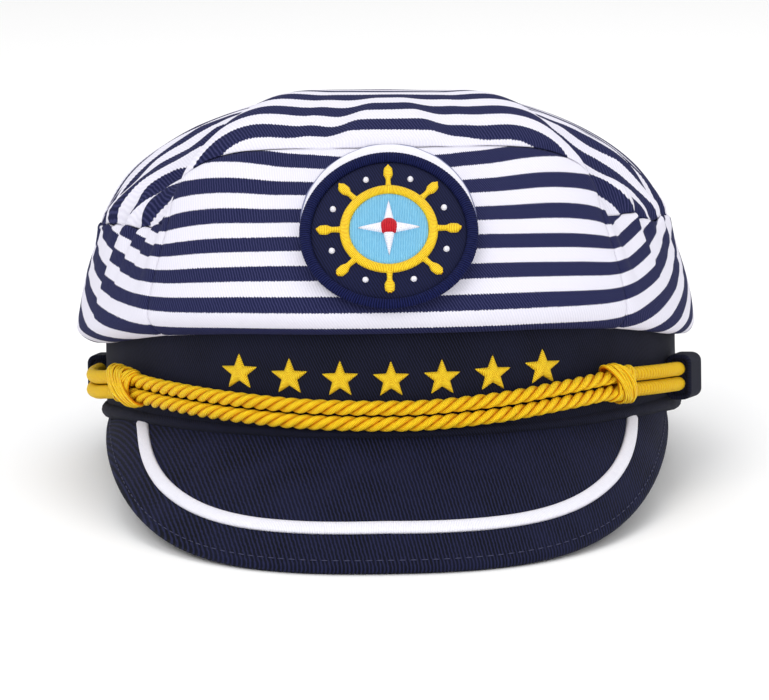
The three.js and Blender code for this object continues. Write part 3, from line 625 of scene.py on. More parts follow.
# %% Crown wall panels
SEAM_ROLL = 0.8
SEAM_ROLL_REACH = 0.05
PANEL_EDGE_LOW = 46
PANEL_SEAM_DEPTH = 0.45
PANEL_SEAM_REACH = 1.3
PUCKERS = table(
    "angle depth",
    (0, 0.12),
    (40, 0.15),
    (52, 1.3),
    (80, 1.2),
    (180, 0.9),
)
PUCKER_SIZE = 6.3
PUCKER_GAIN = 1.6
PUCKER_REACH = 0.3
DENT_DEPTH = 0.5
DENT_SIZE = 26
pucker_depth = column(PUCKERS, "depth")


def seam_roll(share):
    """How far the cloth turns in beside the seam."""
    return SEAM_ROLL * max(0, 1 - share / SEAM_ROLL_REACH) ** 2


def pucker(angle, share, reach):
    """Small folds that run away from the tip's seam."""
    along = max(0, 1 - share / reach)
    wave = ruffle(round_length(angle), 0, PUCKER_SIZE, seed=3.1) * PUCKER_GAIN
    return pucker_depth(abs(signed(angle))) * wave * along**1.5


def panel_edge(row):
    """The angle of the seam between the front panel and a side panel."""
    up_side = clamp((row - BULGE_ROW) / RISE_STEPS)
    return mix(PANEL_EDGE_LOW, FRONT_HALF_ANGLE, up_side**3)


def panel_angle(start, end, across, row):
    """An angle across a panel. start and end are 180, or 1 for the seam beside the front panel."""
    ends = [edge if abs(edge) == 180 else edge * panel_edge(row) for edge in (start, end)]
    return mix(*ends, across)


def wall_panel(start, end, columns):
    def spot(across, up):
        """A point's row, its angle and its share of the way down from the seam."""
        row = round(up * WALL_ROWS)
        share = 1 - max(0, row - BULGE_ROW) / RISE_STEPS
        return row, panel_angle(start, end, across, row), share

    def surface(across, up):
        row, angle, share = spot(across, up)
        point = wall_path(angle)[row]
        pressed = pleat_at(angle, share, "down") if row >= BULGE_ROW else 0
        return around(angle, point.x - pressed, point.y), (round_length(angle), wall_stripe(angle, row))

    def relief(across, up):
        row, angle, share = spot(across, up)
        if row < BULGE_ROW - PUFF_STEPS:
            return 0
        dents = ruffle(round_length(angle), row, DENT_SIZE, seed=7.7) * DENT_DEPTH
        edge = min(1, (1 - share) * 4 + 0.2) * min(1, share * 6)
        beside = abs(abs(angle) - panel_edge(row))
        roll = seam_roll(share) + PANEL_SEAM_DEPTH * max(0, 1 - beside / PANEL_SEAM_REACH) ** 2
        return dents * edge + pucker(angle, share, PUCKER_REACH) - roll

    return shaped_grid(columns, WALL_ROWS, surface, relief)


# %% [markdown]
# The tip is one floppy piece of the same cloth. Each of its sections rises from the seam at the wall's
# own slant and bends over to the crown's top. Long shallow folds run across it where nothing holds it up.

# %% Crown tip
TIP_ROWS = 64
TIP_COLUMNS = 300
DRAPES = table(
    "start end depth width begin finish",
    (-50, -58, 1, 6, 0, 0.5),
    (-70, -50, 0.7, 6, 0.05, 0.6),
    (50, 62, 1, 6, 0, 0.5),
    (72, 52, 0.8, 6, 0.05, 0.6),
    (-22, -40, 0.4, 9, 0, 0.5),
    (30, 40, 0.4, 9, 0, 0.5),
    (100, 85, 0.6, 10, 0.1, 0.7),
    (-105, -90, 0.6, 10, 0.1, 0.7),
    (150, 160, 0.6, 12, 0.1, 0.65),
    (-145, -150, 0.6, 12, 0.1, 0.65),
)
CREASES = table(
    "start end depth width begin finish",
    (-54, -44, 1.5, 2.6, 0, 0.62),
    (-60, -47, -1.2, 2.6, 0, 0.6),
    (-66, -51, 1.7, 2.8, 0, 0.6),
    (-73, -56, -1.3, 3, 0, 0.55),
    (-81, -63, 1.6, 3.4, 0, 0.55),
    (-92, -74, 1.4, 4, 0, 0.5),
    (56, 45, 1.5, 2.8, 0, 0.6),
    (63, 49, -1.2, 2.8, 0, 0.55),
    (69, 55, 1.8, 3, 0, 0.55),
    (80, 64, 1.4, 3.6, 0, 0.5),
    (93, 78, 1.4, 4, 0, 0.5),
    (128, 112, 1.3, 5, 0, 0.45),
    (-135, -120, 1.3, 5, 0, 0.45),
    (-19, -13, 1.8, 3, 0, 0.5),
    (21, 14, 1.5, 3, 0, 0.5),
)
TIP_PHASE = -6.3
TIP_FIRST_WHITE = -4.3
TIP_CROWDING = 1.25
TIP_DENT_SIZE = 34
TIP_DENT_DEPTH = 0.8
TIP_PUCKER_REACH = 0.22


def seam_point(angle):
    seam = tip_seam(angle)
    return around(angle, seam.x - pleat_at(angle, 0, "down"), seam.y)


@cache
def dome_curve(angle):
    """The four points of the tip's curve at an angle."""
    away = abs(signed(angle))
    rim = seam_point(angle)
    lean = cubic_way(wall_rise(angle), 1)
    radial = Vector((rim.x, rim.y, 0)).normalized()
    heading = (radial * lean.x + Vector((0, 0, lean.y))).normalized()
    along = (seam_point(angle + 1) - seam_point(angle - 1)).normalized()
    normal = along.cross(heading).normalized()
    across = normal.cross(along).normalized()
    top = Vector((0, 0, CROWN_HEIGHT))
    inward = Vector((-rim.x, -rim.y, 0))
    way = inward.length
    inward.normalize()
    start = rim + across * TIP_SEAM_GAP
    crest = top - inward * section["crown"](away) * way
    crest.z += section["crest"](away) * CREST_LIFT
    return start, start + heading * section["shoulder"](away) * way, crest, top


def drape_at(angle, share):
    """How far the long folds and the sharper creases at the shoulders press the tip in."""
    total = 0
    for fold, deepest, rise in [(f, DRAPE_DEPTH, 1) for f in DRAPES] + [(f, 1, 0.6) for f in CREASES]:
        along = clamp((share - fold["begin"]) / (fold["finish"] - fold["begin"]))
        ridge = mix(fold["start"], fold["end"], along)
        spread = fold["width"] * (1 + along)
        depth = bell(signed(angle - ridge), spread) * sin(pi * along**rise)
        total += fold["depth"] * deepest * depth
    return total


@cache
def profile_arcs():
    """Points of the tip's centre line from front to back, as y and distance along the cloth."""
    steps = [i / TIP_ROWS for i in range(TIP_ROWS + 1)]
    front = [cubic(dome_curve(0), t) for t in steps]
    back = [cubic(dome_curve(180), t) for t in reversed(steps)]
    line = front + back[1:]
    return [point.y for point in line], distances(line)


def tip_stripe(y):
    """How far back on the striped cloth a point of the tip lies."""
    ys, arcs = profile_arcs()
    i = min(max(sum(1 for start in ys if start < y) - 1, 0), len(ys) - 2)
    return mix(arcs[i], arcs[i + 1], (y - ys[i]) / (ys[i + 1] - ys[i])) + TIP_PHASE


def tip_surface(across, up):
    point = cubic(dome_curve(full_turn(across)), up**TIP_CROWDING)
    return point, (point.x, max(TIP_FIRST_WHITE, tip_stripe(point.y)))


def tip_relief(across, up):
    angle = full_turn(across)
    share = up**TIP_CROWDING
    pressed = drape_at(angle, share)
    if share > 0:
        pressed += pleat_at(angle, share, "up") * PLEAT_ON_DOME
    point = cubic(dome_curve(angle), share)
    dents = ruffle(point.x, point.y, TIP_DENT_SIZE, seed=2.2) * TIP_DENT_DEPTH * min(1, share * 5)
    return dents - pressed - seam_roll(share) + pucker(angle, share, TIP_PUCKER_REACH)


# %% [markdown]
# The stripes are cotton twill: a weave whose threads step sideways from row to row, which draws fine
# diagonal lines. The lines show in the navy stripes, where the white thread peeps through, and hardly in
# the white ones. The real lines are about 0.6 mm apart, and are drawn at 0.8 mm so that they still show.

# %% Striped cotton
TWILL_PITCH = 0.8
TWILL_SLANT = 118
TWILL_DEPTH = 0.05
STRIPE_PAIR = 9.65
STRIPE_WANDER = 0.5
STRIPE_STEP = 0.12
COTTON_SPECULAR = 0.12


def cloth_place(tree):
    """The place on the flat cloth, in millimetres."""
    return add(tree, "ShaderNodeUVMap", uv_map="cloth").outputs[0]


def reckon(tree, operation, *values):
    return add(tree, "ShaderNodeMath", dict(enumerate(values)), operation=operation).outputs[0]


def twill_lines(tree, cloth, pitch, slant, waver=0.6):
    """The diagonal lines of a twill, from -1 to 1. slant is their angle from the weft, in degrees."""
    turn = radians(slant)
    along = (-sin(turn) * tau / pitch, cos(turn) * tau / pitch, 0)
    place = add(tree, "ShaderNodeVectorMath", {0: cloth, 1: along}, operation="DOT_PRODUCT")
    uneven = blotches(tree, 0.8, 2, cloth)
    phase = reckon(tree, "MULTIPLY_ADD", uneven, waver * tau, place.outputs["Value"])
    return reckon(tree, "SINE", phase)


def to_range(tree, value, low, high, to_low=0.0, to_high=1.0):
    inputs = dict(enumerate((value, low, high, to_low, to_high)))
    return add(tree, "ShaderNodeMapRange", inputs).outputs[0]


def raised(tree, height, depth, strength=1.0):
    """A bump of a given depth in millimetres."""
    made = add(tree, "ShaderNodeBump", {"Strength": strength, "Distance": depth * MM, "Height": height})
    return made.outputs[0]


striped_cotton, tree = new_material("yarn_dyed_striped_cotton_twill")
cloth = cloth_place(tree)
lines = twill_lines(tree, cloth, TWILL_PITCH, TWILL_SLANT)
up_cloth = add(tree, "ShaderNodeSeparateXYZ", {0: cloth}).outputs[1]
ragged = reckon(tree, "MULTIPLY_ADD", blotches(tree, 2.2, 1, cloth), STRIPE_WANDER, up_cloth)
stepped = reckon(tree, "MULTIPLY_ADD", lines, STRIPE_STEP, ragged)
wave = reckon(tree, "SINE", reckon(tree, "MULTIPLY", stepped, tau / STRIPE_PAIR))
is_navy = to_range(tree, wave, -0.05, 0.05)
navy = blend_colours(tree, to_range(tree, lines, -0.2, 1), "#1A1D3E", "#34365D")
white = blend_colours(tree, to_range(tree, lines, -1, 1), "#D8D6E3", "#E1DFEA")
colour = blend_colours(tree, is_navy, white, navy)
bump = raised(tree, lines, TWILL_DEPTH, 0.6)
show(tree, colour, 0.9, {"Specular IOR Level": COTTON_SPECULAR, "Normal": bump})

for name, grid, node in (
    ("striped_front_panel", wall_panel(-1, 1, 200), "crown_front"),
    ("striped_left_panel", wall_panel(-180, -1, 260), "crown_side_left"),
    ("striped_right_panel", wall_panel(1, 180, 260), "crown_side_right"),
    ("striped_tip", shaped_grid(TIP_COLUMNS, TIP_ROWS, tip_surface, tip_relief), "crown_tip"),
):
    give_wall(piece(name, grid, striped_cotton, "striped_cotton", node), CLOTH_WALL)

# %% [markdown]
# The band, the welt, the peak and the loops are a navy twill, dyed almost black. It is the same weave as
# the striped cloth, so it gets the same fine diagonals, a little coarser on the peak, with little contrast
# and a faint fuzz that lightens it at grazing angles.

# %% Navy twill
def navy_cloth(name, ground, line, slant, pitch=TWILL_PITCH):
    """A dyed cotton twill: dark, matt, with slightly lighter diagonals and a slow change of tone."""
    made, tree = new_material(name)
    cloth = cloth_place(tree)
    lines = twill_lines(tree, cloth, pitch, slant)
    woven = blend_colours(tree, to_range(tree, lines, -0.4, 1), ground, line)
    worn = to_range(tree, blotches(tree, 0.06, 4, cloth), 0.35, 0.75, 0, 0.35)
    fuzz = {"Sheen Weight": 0.02, "Sheen Roughness": 0.5}
    bump = raised(tree, lines, TWILL_DEPTH, 0.7)
    more = {"Specular IOR Level": COTTON_SPECULAR, "Normal": bump, **fuzz}
    show(tree, blend_colours(tree, worn, woven, line), 0.85, more)
    return made


band_twill = navy_cloth("navy_band_twill", "#06070F", "#1A1C32", TWILL_SLANT)
peak_twill = navy_cloth("navy_peak_twill", "#04060F", "#1E2140", 77, 1)

# %% [markdown]
# The band is a stiffened ring. Its outer face is covered cloth, so it waves very slightly where the cords
# and the crown pull at it. One closed profile is carried round the ellipse: up the outer face, over the
# top and down inside. The welt rolls under it. The peak's stiff root pushes the roll up and squeezes it,
# most at the peak's two shoulders, which a short table holds.

# %% Band and welt
BAND_COLUMNS = 240
BAND_CORNER = 0.5
BAND_WAVE_SIZE = 22
BAND_WAVE_DEPTH = 0.18
WELT_FOLD_SIZE = 4.5
WELT_FOLD_DEPTH = 0.16
WELT_FOLD_SLANT = 14
WELT_FOLDS_ROUND = 4


def rounded_box(width, height, corner, steps=4):
    """A closed outline round the middle of a box with rounded corners, from its right side up."""
    points = []
    for i, (sx, sy) in enumerate(((1, 1), (-1, 1), (-1, -1), (1, -1))):
        middle = Vector((sx * (width / 2 - corner), sy * (height / 2 - corner)))
        for step in range(steps + 1):
            turn = pi / 2 * (i + step / steps)
            points.append(middle + corner * Vector((cos(turn), sin(turn))))
    return points


def along_outline(points, share):
    """The point of a closed outline at a share of its length."""
    loop = points + points[:1]
    lengths = [(b - a).length for a, b in zip(loop, loop[1:])]
    left = share * sum(lengths)
    for a, b, length in zip(loop, loop[1:], lengths):
        if left <= length:
            return a.lerp(b, left / length if length else 0)
        left -= length
    return loop[-1]


BAND_INTO_WELT = 1.5
band_low = band_bottom - BAND_INTO_WELT
band_outline = rounded_box(BAND_WALL, BAND_HEIGHT - band_low, BAND_CORNER)
BAND_ROWS = 60
band_lines = [along_outline(band_outline, i / BAND_ROWS) for i in range(BAND_ROWS + 1)]


def band_surface(across, up):
    angle = full_turn(across)
    spot = band_lines[round(up * BAND_ROWS)]
    height = spot.y + (BAND_HEIGHT + band_low) / 2
    return around(angle, spot.x - BAND_WALL / 2, height), (round_length(angle), height)


def band_relief(across, up):
    angle = full_turn(across)
    wave = ruffle(round_length(angle), up * BAND_ROWS, BAND_WAVE_SIZE, seed=5.5)
    return wave * BAND_WAVE_DEPTH


band_grid = shaped_grid(BAND_COLUMNS, BAND_ROWS, band_surface, band_relief)
piece("twill_band", band_grid, band_twill, "navy_twill", "band")

WELT_SIDES = 16
WELT_COLUMNS = 420
WELT_LINES = table(
    "angle size lift",
    (0, 0.72, 1.6),
    (30, 0.8, 2.2),
    (60, 0.95, 3.2),
    (88, 1.25, 1.4),
    (130, 1.1, 0.5),
    (180, 1, 0),
)
welt_size = column(WELT_LINES, "size")
welt_lift = column(WELT_LINES, "lift")


def welt_surface(across, up):
    angle = full_turn(across)
    turn = up * tau
    size = welt_size(abs(angle))
    out = -BAND_WALL / 2 + (WELT_RADIUS + WELT_SPREAD) * size * cos(turn)
    height = welt_lift(abs(angle)) + WELT_RADIUS * size * sin(turn)
    return around(angle, out, height), (round_length(angle), turn * WELT_RADIUS)


def welt_relief(across, up):
    """The rolled cloth strains into short slanting folds."""
    angle = full_turn(across)
    slanted = round_length(angle) + up * WELT_FOLD_SLANT
    return ruffle(slanted, up * WELT_FOLDS_ROUND, WELT_FOLD_SIZE, seed=1.1) * WELT_FOLD_DEPTH


welt_grid = shaped_grid(WELT_COLUMNS, WELT_SIDES, welt_surface, welt_relief, floor_level=0)
piece("rolled_welt", welt_grid, band_twill, "navy_twill", "band_welt")

# %% [markdown]
# The peak is board between two layers of twill. Its face runs straight from the band to a squarish edge
# that curls up at its ends, with a slight crown. The outline of its section, over the face, round the
# edge and back below, is carried from one end of the peak to the other.

# %% Peak
PEAK_THICKNESS = 3
PEAK_HALF_WIDTH = 84.2
PEAK_SHIFT = -1.6
PEAK_ROOT_TUCK = 1.5
PEAK_SQUARENESS = 2.5
PEAK_SIDE_LIFT = 14.8
PEAK_SIDE_CURL = 6
PEAK_CAMBER = 1.2
PEAK_END = 86
PEAK_ROOT_OUT = 0.3
PEAK_LINES = table(
    "share turn",
    (0, 0),
    (0.23, 18),
    (0.47, 46.5),
    (0.66, 71.5),
    (1, 90),
)
GROOVE_AT = 0.055
GROOVE_WIDTH = 0.012
GROOVE_DEPTH = 0.25
PEAK_WAVE_DEPTH = 0.08
PEAK_WAVE_SIZE = 3
PEAK_WAVE_SPAN = (40, 20)
FACE_STEPS = 30
EDGE_STEPS = 10
PEAK_COLUMNS = 200
peak_slope = atan2(PEAK_DROP - WELT_RADIUS, PEAK_REACH)
edge_turn = column(PEAK_LINES, "turn", "share")


@cache
def peak_ends(angle):
    """The peak's root and edge on the line at an angle."""
    tuck = PEAK_ROOT_TUCK * (angle / PEAK_END) ** 4
    height = welt_lift(abs(angle)) - WELT_RADIUS * welt_size(abs(angle)) / 2
    root = around(angle, PEAK_ROOT_OUT - BAND_WALL / 2 - tuck, height)
    turn = radians(edge_turn(abs(angle) / PEAK_END))
    power = 2 / PEAK_SQUARENESS
    end_y = around(PEAK_END, 0, 0).y
    across = sin(turn) ** power
    y = end_y - (front_reach + end_y) * max(0, cos(turn)) ** power
    rest = -WELT_RADIUS - (HALF_LENGTH - y) * tan(rest_tilt)
    top = rest + PEAK_SIDE_LIFT * across**PEAK_SIDE_CURL + PEAK_THICKNESS * cos(peak_slope)
    return root, Vector((PEAK_SHIFT + copysign(PEAK_HALF_WIDTH * across, angle), y, top))


def peak_point(angle, way):
    """A point of the peak's face. way runs from the root to the edge."""
    root, edge = peak_ends(angle)
    camber = PEAK_CAMBER * sin(pi * way) * cos(radians(angle))
    return root.lerp(edge, way) + camber * Vector((0, -sin(peak_slope), cos(peak_slope)))


def peak_normal(angle):
    a = radians(angle)
    flat = Vector((sin(a), -cos(a), 0)) * sin(peak_slope)
    return flat + Vector((0, 0, cos(peak_slope)))


@cache
def peak_section(angle):
    """The peak's outline on one line: under the root, out below, round the edge and back over the face."""
    root, edge = peak_ends(angle)
    half_thick = PEAK_THICKNESS / 2
    last = 1 - half_thick / (edge - root).length
    normal = peak_normal(angle)
    outward = edge - root
    outward = (outward - normal * outward.dot(normal)).normalized()
    face = [peak_point(angle, last * i / FACE_STEPS) for i in range(FACE_STEPS + 1)]
    below = [point - normal * PEAK_THICKNESS for point in face]
    middle = face[-1] - normal * half_thick
    turns = [pi * (i / EDGE_STEPS - 0.5) for i in range(1, EDGE_STEPS)]
    rim = [middle + half_thick * turned(outward, normal, turn) for turn in turns]
    return below + rim + face[::-1]


PEAK_ROWS = 2 * FACE_STEPS + EDGE_STEPS


def peak_surface(across, up):
    angle = mix(-PEAK_END, PEAK_END, across)
    point = peak_section(angle)[round(up * PEAK_ROWS)]
    return point, (point.x, -point.y / cos(peak_slope))


def peak_relief(across, up):
    """The edge's seam allowance shows through as a low step, and the cloth is nearly flat elsewhere."""
    row = up * PEAK_ROWS - FACE_STEPS - EDGE_STEPS
    if row < 0:
        return 0
    from_edge = row / FACE_STEPS
    groove = GROOVE_DEPTH * bell(from_edge - GROOVE_AT, GROOVE_WIDTH)
    place = (across * PEAK_WAVE_SPAN[0], up * PEAK_WAVE_SPAN[1])
    return ruffle(*place, PEAK_WAVE_SIZE, seed=9.1) * PEAK_WAVE_DEPTH - groove


peak_grid = shaped_grid(PEAK_COLUMNS, PEAK_ROWS, peak_surface, peak_relief, floor_level=0)
close_ends(peak_grid)
piece("twill_peak", peak_grid, peak_twill, "navy_twill", "peak")

# %% [markdown]
# Satin stitch lies in close parallel threads across a shape, which catch the light like silk. The threads
# are 0.45 mm thick and are drawn at that size as fine ridges across the u direction of the UV map, with
# the far side of each ridge painted a little darker, as painted shade. The shine of dyed rayon keeps the
# thread's own colour. Deep between the yarns of a rope, light only comes off other yarns, so a redder
# painted shade is laid there.

# %% Satin stitch
STITCH_PITCH = 0.45


def satin(name, light, dark, pitch=STITCH_PITCH, roughness=0.45, depth=0.12, gloss=0.5, deep=None):
    """Embroidery in rayon thread, laid side by side along u, with painted shade on each thread's far side.
    deep is the painted shade colour in the creases.
    """
    made, tree = new_material(name)
    cloth = cloth_place(tree)
    lines = twill_lines(tree, cloth, pitch, 90, waver=0.5)
    # Painted shade: each thread ridge turns from the light colour to the dark one on its far side.
    shade = blend_colours(tree, to_range(tree, lines, -1, 0.5), dark, light)
    uneven = to_range(tree, blotches(tree, 0.7, 3, cloth), 0.4, 0.8, 0, 0.5)
    colour = blend_colours(tree, uneven, shade, light)
    # Painted shade: where a point lies deep in a crease between yarns, its colour turns to the redder deep
    # colour.
    if deep:
        crease_shade_share = add(tree, "ShaderNodeAttribute", attribute_name="crease").outputs["Fac"]
        colour = blend_colours(tree, crease_shade_share, colour, deep)
    shine = {"Specular IOR Level": gloss, "Specular Tint": hex_colour(light)}
    show(tree, colour, roughness, {"Normal": raised(tree, lines, depth, 0.8), **shine})
    return made


white_satin = satin("white_satin_stitch", "#F4F3FB", "#DAD9E7", depth=0.08)
gold_satin = satin("golden_satin_stitch", "#FFE438", "#D07A08")
blue_satin = satin("light_blue_fill_stitch", "#8FD0EF", "#57A9D6", depth=0.15)
red_satin = satin("red_satin_stitch", "#D42A35", "#8E1420")
navy_overlock = satin("navy_overlock_stitch", "#1F2450", "#0C0F28", 0.7, 0.75, 0.2, 0.2)

# %% [markdown]
# The white line on the peak is a flat satin-stitched braid that keeps the same distance from the edge. It
# is raised a little in the middle, and it ends where it meets the welt.

# %% Braid on the peak
BRAID_WIDTH = 4
BRAID_RISE = 1.1
BRAID_FROM_EDGE = 13.5
BRAID_COLUMNS = 260
BRAID_ROWS = 16
BRAID_END_WAY = 0.03
BRAID_TURN_IN = dict(left=2, right=4.2)
BRAID_TURN_IN_AT = 58
BRAID_SEARCH = (30, 75)
NEARBY = 0.1


def braid_way(angle):
    """How far out on the peak the braid lies. Towards its ends it turns in from the edge."""
    root, edge = peak_ends(angle)
    turn_in = BRAID_TURN_IN["left" if angle < 0 else "right"] * (angle / BRAID_TURN_IN_AT) ** 4
    return 1 - (BRAID_FROM_EDGE + turn_in) / (edge - root).length


search = [quarter / 4 for quarter in range(4 * BRAID_SEARCH[0], 4 * BRAID_SEARCH[1])]
braid_ends = [side * max(a for a in search if braid_way(side * a) > BRAID_END_WAY) for side in (-1, 1)]
print("the braid ends at", braid_ends, "degrees")


@cache
def braid_middle(angle):
    way = braid_way(angle)
    across = peak_point(angle + NEARBY, way) - peak_point(angle - NEARBY, way)
    along = peak_point(angle, way + 0.001) - peak_point(angle, way - 0.001)
    return peak_point(angle, way), along.cross(across).normalized()


@cache
def braid_length(angle):
    return length_to(angle, lambda stop: braid_middle(stop)[0])


def braid_surface(across, up):
    """Over the top from one side to the other, and back flat below."""
    angle = mix(*braid_ends, across)
    point, normal = braid_middle(angle)
    way = (braid_middle(angle + NEARBY)[0] - braid_middle(angle - NEARBY)[0]).normalized()
    side = way.cross(normal)
    turn = up * tau
    offset = -cos(turn) * BRAID_WIDTH / 2
    height = BRAID_RISE * max(0, sin(turn)) ** 0.6
    return point + side * offset + normal * (height - 0.1), (braid_length(angle), offset)


braid_grid = shaped_grid(BRAID_COLUMNS, BRAID_ROWS, braid_surface)
close_ends(braid_grid)
piece("white_braid_line", faced_out(braid_grid), white_satin, "white_braid", "peak_braid")

# %% [markdown]
# Two gold cords lie one above the other over the band, from keeper to keeper. Their path is the packed
# model's own cord line. A table gives its height and how far it stands off the band at a few angles, and
# the cord's length is measured along it.

# %% Cord line
CORD_DIAMETER = 3.8
CORD_SPACING = 4.4
CORD_SEAT_GAP = 0.3
KEEPER_WALL = 1.5
KEEPER_ROOM_ACROSS = 0.4
KEEPER_ROOM_ABOVE = 1.1
KEEPER_LENGTH = 13
keeper_depth = CORD_DIAMETER + 2 * (KEEPER_WALL + KEEPER_ROOM_ACROSS)
keeper_height = CORD_DIAMETER + CORD_SPACING + 2 * (KEEPER_WALL + KEEPER_ROOM_ABOVE)
keeper_seat = keeper_depth / 2 + GAP
cord_seat = CORD_DIAMETER / 2 + CORD_SEAT_GAP
CORD_ROUTE = table(
    "angle height out",
    (-103, 9.8, 1),
    (-98, 9.8, 1),
    (-88, 9.9, 1),
    (-75, 10.6, 1),
    (-59, 12.4, 1),
    (-46, 10.8, 0.35),
    (-29, 8.6, 0.05),
    (-12, 7, 0),
    (3, 6.6, 0),
    (18, 7.9, 0.05),
    (33, 10.4, 0.4),
    (46, 12.2, 1),
    (62, 11.6, 1),
    (75, 10.8, 1),
)
CORD_ENDS = (CORD_ROUTE[0]["angle"], CORD_ROUTE[-1]["angle"])
CORD_STEPS = 800
KNOT_LEFT = -59
KNOT_RIGHT = 46
route_height = column(CORD_ROUTE, "height")
route_out = column(CORD_ROUTE, "out")


def cord_point(angle, level=0):
    out = mix(cord_seat, keeper_seat, route_out(angle))
    return around(angle, out, route_height(angle) + level * CORD_SPACING)


class CordLine:
    """A cord's centre line by distance along it, with the directions along, out and up."""

    def __init__(self, level):
        shares = [i / CORD_STEPS for i in range(CORD_STEPS + 1)]
        self.points = [cord_point(mix(*CORD_ENDS, share), level) for share in shares]
        self.lengths = distances(self.points)

    def at_angle(self, angle):
        """The distance at an angle round the band."""
        share = (angle - CORD_ENDS[0]) / (CORD_ENDS[1] - CORD_ENDS[0])
        return self.lengths[round(share * CORD_STEPS)]

    def at(self, distance):
        distance = min(max(distance, 0), self.lengths[-1] - 1e-6)
        i = bisect_right(self.lengths, distance) - 1
        share = (distance - self.lengths[i]) / (self.lengths[i + 1] - self.lengths[i])
        point = self.points[i].lerp(self.points[i + 1], share)
        before, after = max(0, i - 2), min(len(self.points) - 1, i + 3)
        along = (self.points[after] - self.points[before]).normalized()
        out = along.cross(Vector((0, 0, 1))).normalized()
        return point, along, out, out.cross(along)


CORD_LINES = dict(cord_upper=CordLine(0.5), cord_lower=CordLine(-0.5))
for name, line in CORD_LINES.items():
    print(name, round(line.lengths[-1], 1), "mm long")

# %% [markdown]
# The gold cord is rope: three yarns laid round each other, so that each shows as a slanting lobe. A bump on
# one thick tube would look flat from the side, so every yarn is a tube of its own that winds round the
# cord's line. Beyond the knots the cord is served instead, wound closely with one thin thread.

# %% Rope and served ends
ROPE_LAY = 12.2
ROPE_YARNS = 3
YARN_RADIUS = 1.04
YARN_OFFSET = 1.08
SERVED_RADIUS = 1.6
SERVING_PITCH = 1.7
SERVING_DEPTH = 0.5
YARN_STEP = 0.42
SERVING_STEP = 0.14
CREASE_REACH = 1.25
CREASE_SOFTNESS = 1.8
FIBRE_SLANT = 0.25


def crease_depth(outward):
    """How deep a point of a yarn lies, from 1 - outward, where outward is 1 on its outer side."""
    return clamp((1 - outward) / CREASE_REACH) ** CREASE_SOFTNESS


def rope_yarn(line, start, end, turn_start):
    """One yarn of the rope as a tube. u runs round it, so that its fibres run along it."""
    columns = round((end - start) / YARN_STEP)

    def yarn_middle(distance):
        point, _, out, up = line.at(distance)
        turn = turn_start + distance / ROPE_LAY * tau
        return point + YARN_OFFSET * turned(out, up, turn)

    @cache
    def yarn_frame(distance):
        middle = yarn_middle(distance)
        along = (yarn_middle(distance + 0.05) - yarn_middle(distance - 0.05)).normalized()
        side = (middle - line.at(distance)[0]).normalized()
        side = (side - along * side.dot(along)).normalized()
        return middle, side, along.cross(side)

    def surface(across, up):
        distance = mix(start, end, across)
        middle, side, over = yarn_frame(distance)
        turn = up * tau
        point = middle + YARN_RADIUS * turned(side, over, turn)
        return point, (turn * YARN_RADIUS + distance * FIBRE_SLANT, distance)

    grid = shaped_grid(columns, 10, surface, crease=lambda _, up: crease_depth(cos(up * tau)))
    close_ends(grid)
    return grid


def served_end(line, start, end):
    """A stretch of cord wound with thread. u runs along it, so that the fibres run round it."""
    columns = round(abs(end - start) / SERVING_STEP)

    def ridge(across, up):
        return abs(sin(pi * (mix(start, end, across) / SERVING_PITCH + up)))

    def surface(across, up):
        distance = mix(start, end, across)
        point, _, out, over = line.at(distance)
        turn = up * tau
        radius = SERVED_RADIUS + SERVING_DEPTH * ridge(across, up)
        return point + radius * turned(out, over, turn), (distance * 2, turn * radius)

    grid = shaped_grid(columns, 14, surface, crease=lambda *share: crease_depth(ridge(*share)))
    close_ends(grid)
    return grid


# The cord's #C85A00 is the painted shade deep between its yarns, in its served turns and between the knots'
# strands.
gold_rope = satin("golden_rayon_cord", "#FFE02E", "#EC9C08", 0.6, 0.4, 0.15, 0.8, "#C85A00")
for name, line in CORD_LINES.items():
    knot_left, knot_right = line.at_angle(KNOT_LEFT), line.at_angle(KNOT_RIGHT)
    turns = [yarn * tau / ROPE_YARNS for yarn in range(ROPE_YARNS)]
    grids = [rope_yarn(line, knot_left, knot_right, turn) for turn in turns]
    served = ((0.2, knot_left), (knot_right, line.lengths[-1] - 0.2))
    rope = faced_out(joined(grids + [served_end(line, *ends) for ends in served]))
    made = piece("gold_rope_" + name.removeprefix("cord_"), rope, gold_rope, "gold_cord", name)

# %% [markdown]
# Each knot is a few turns of thin cord, wound over both cords at a slant and crossed underneath. Every
# turn is a bundle of soft strands, so it is built as tubes side by side, round an ellipse that leans along
# the cord. Both knots are tied the same way round, so they lean the same way and aren't mirrored.

# %% Knots
KNOT_HEIGHT = 11.8
KNOT_DEPTH = 8
STRAND_RADIUS = 0.56
STRAND_STEP = 1
STRAND_WOBBLE = 0.35
STRAND_FIBRE_SLANT = 0.6
WRAP_UNEVENNESS = 0.03
KNOTS = table(
    "name angle spread shift",
    ("knot_left", KNOT_LEFT, 1, 2),
    ("knot_right", KNOT_RIGHT, 0.62, -1.6),
)
KNOT_WRAPS = table(
    "shift lean strands size",
    (-0.4, 6, 5, 1),
    (3.8, 4.6, 4, 0.92),
    (1.4, -4.2, 4, 0.84),
    (-3.2, 1, 2, 0.8),
    (5.6, -1.6, 3, 0.72),
)


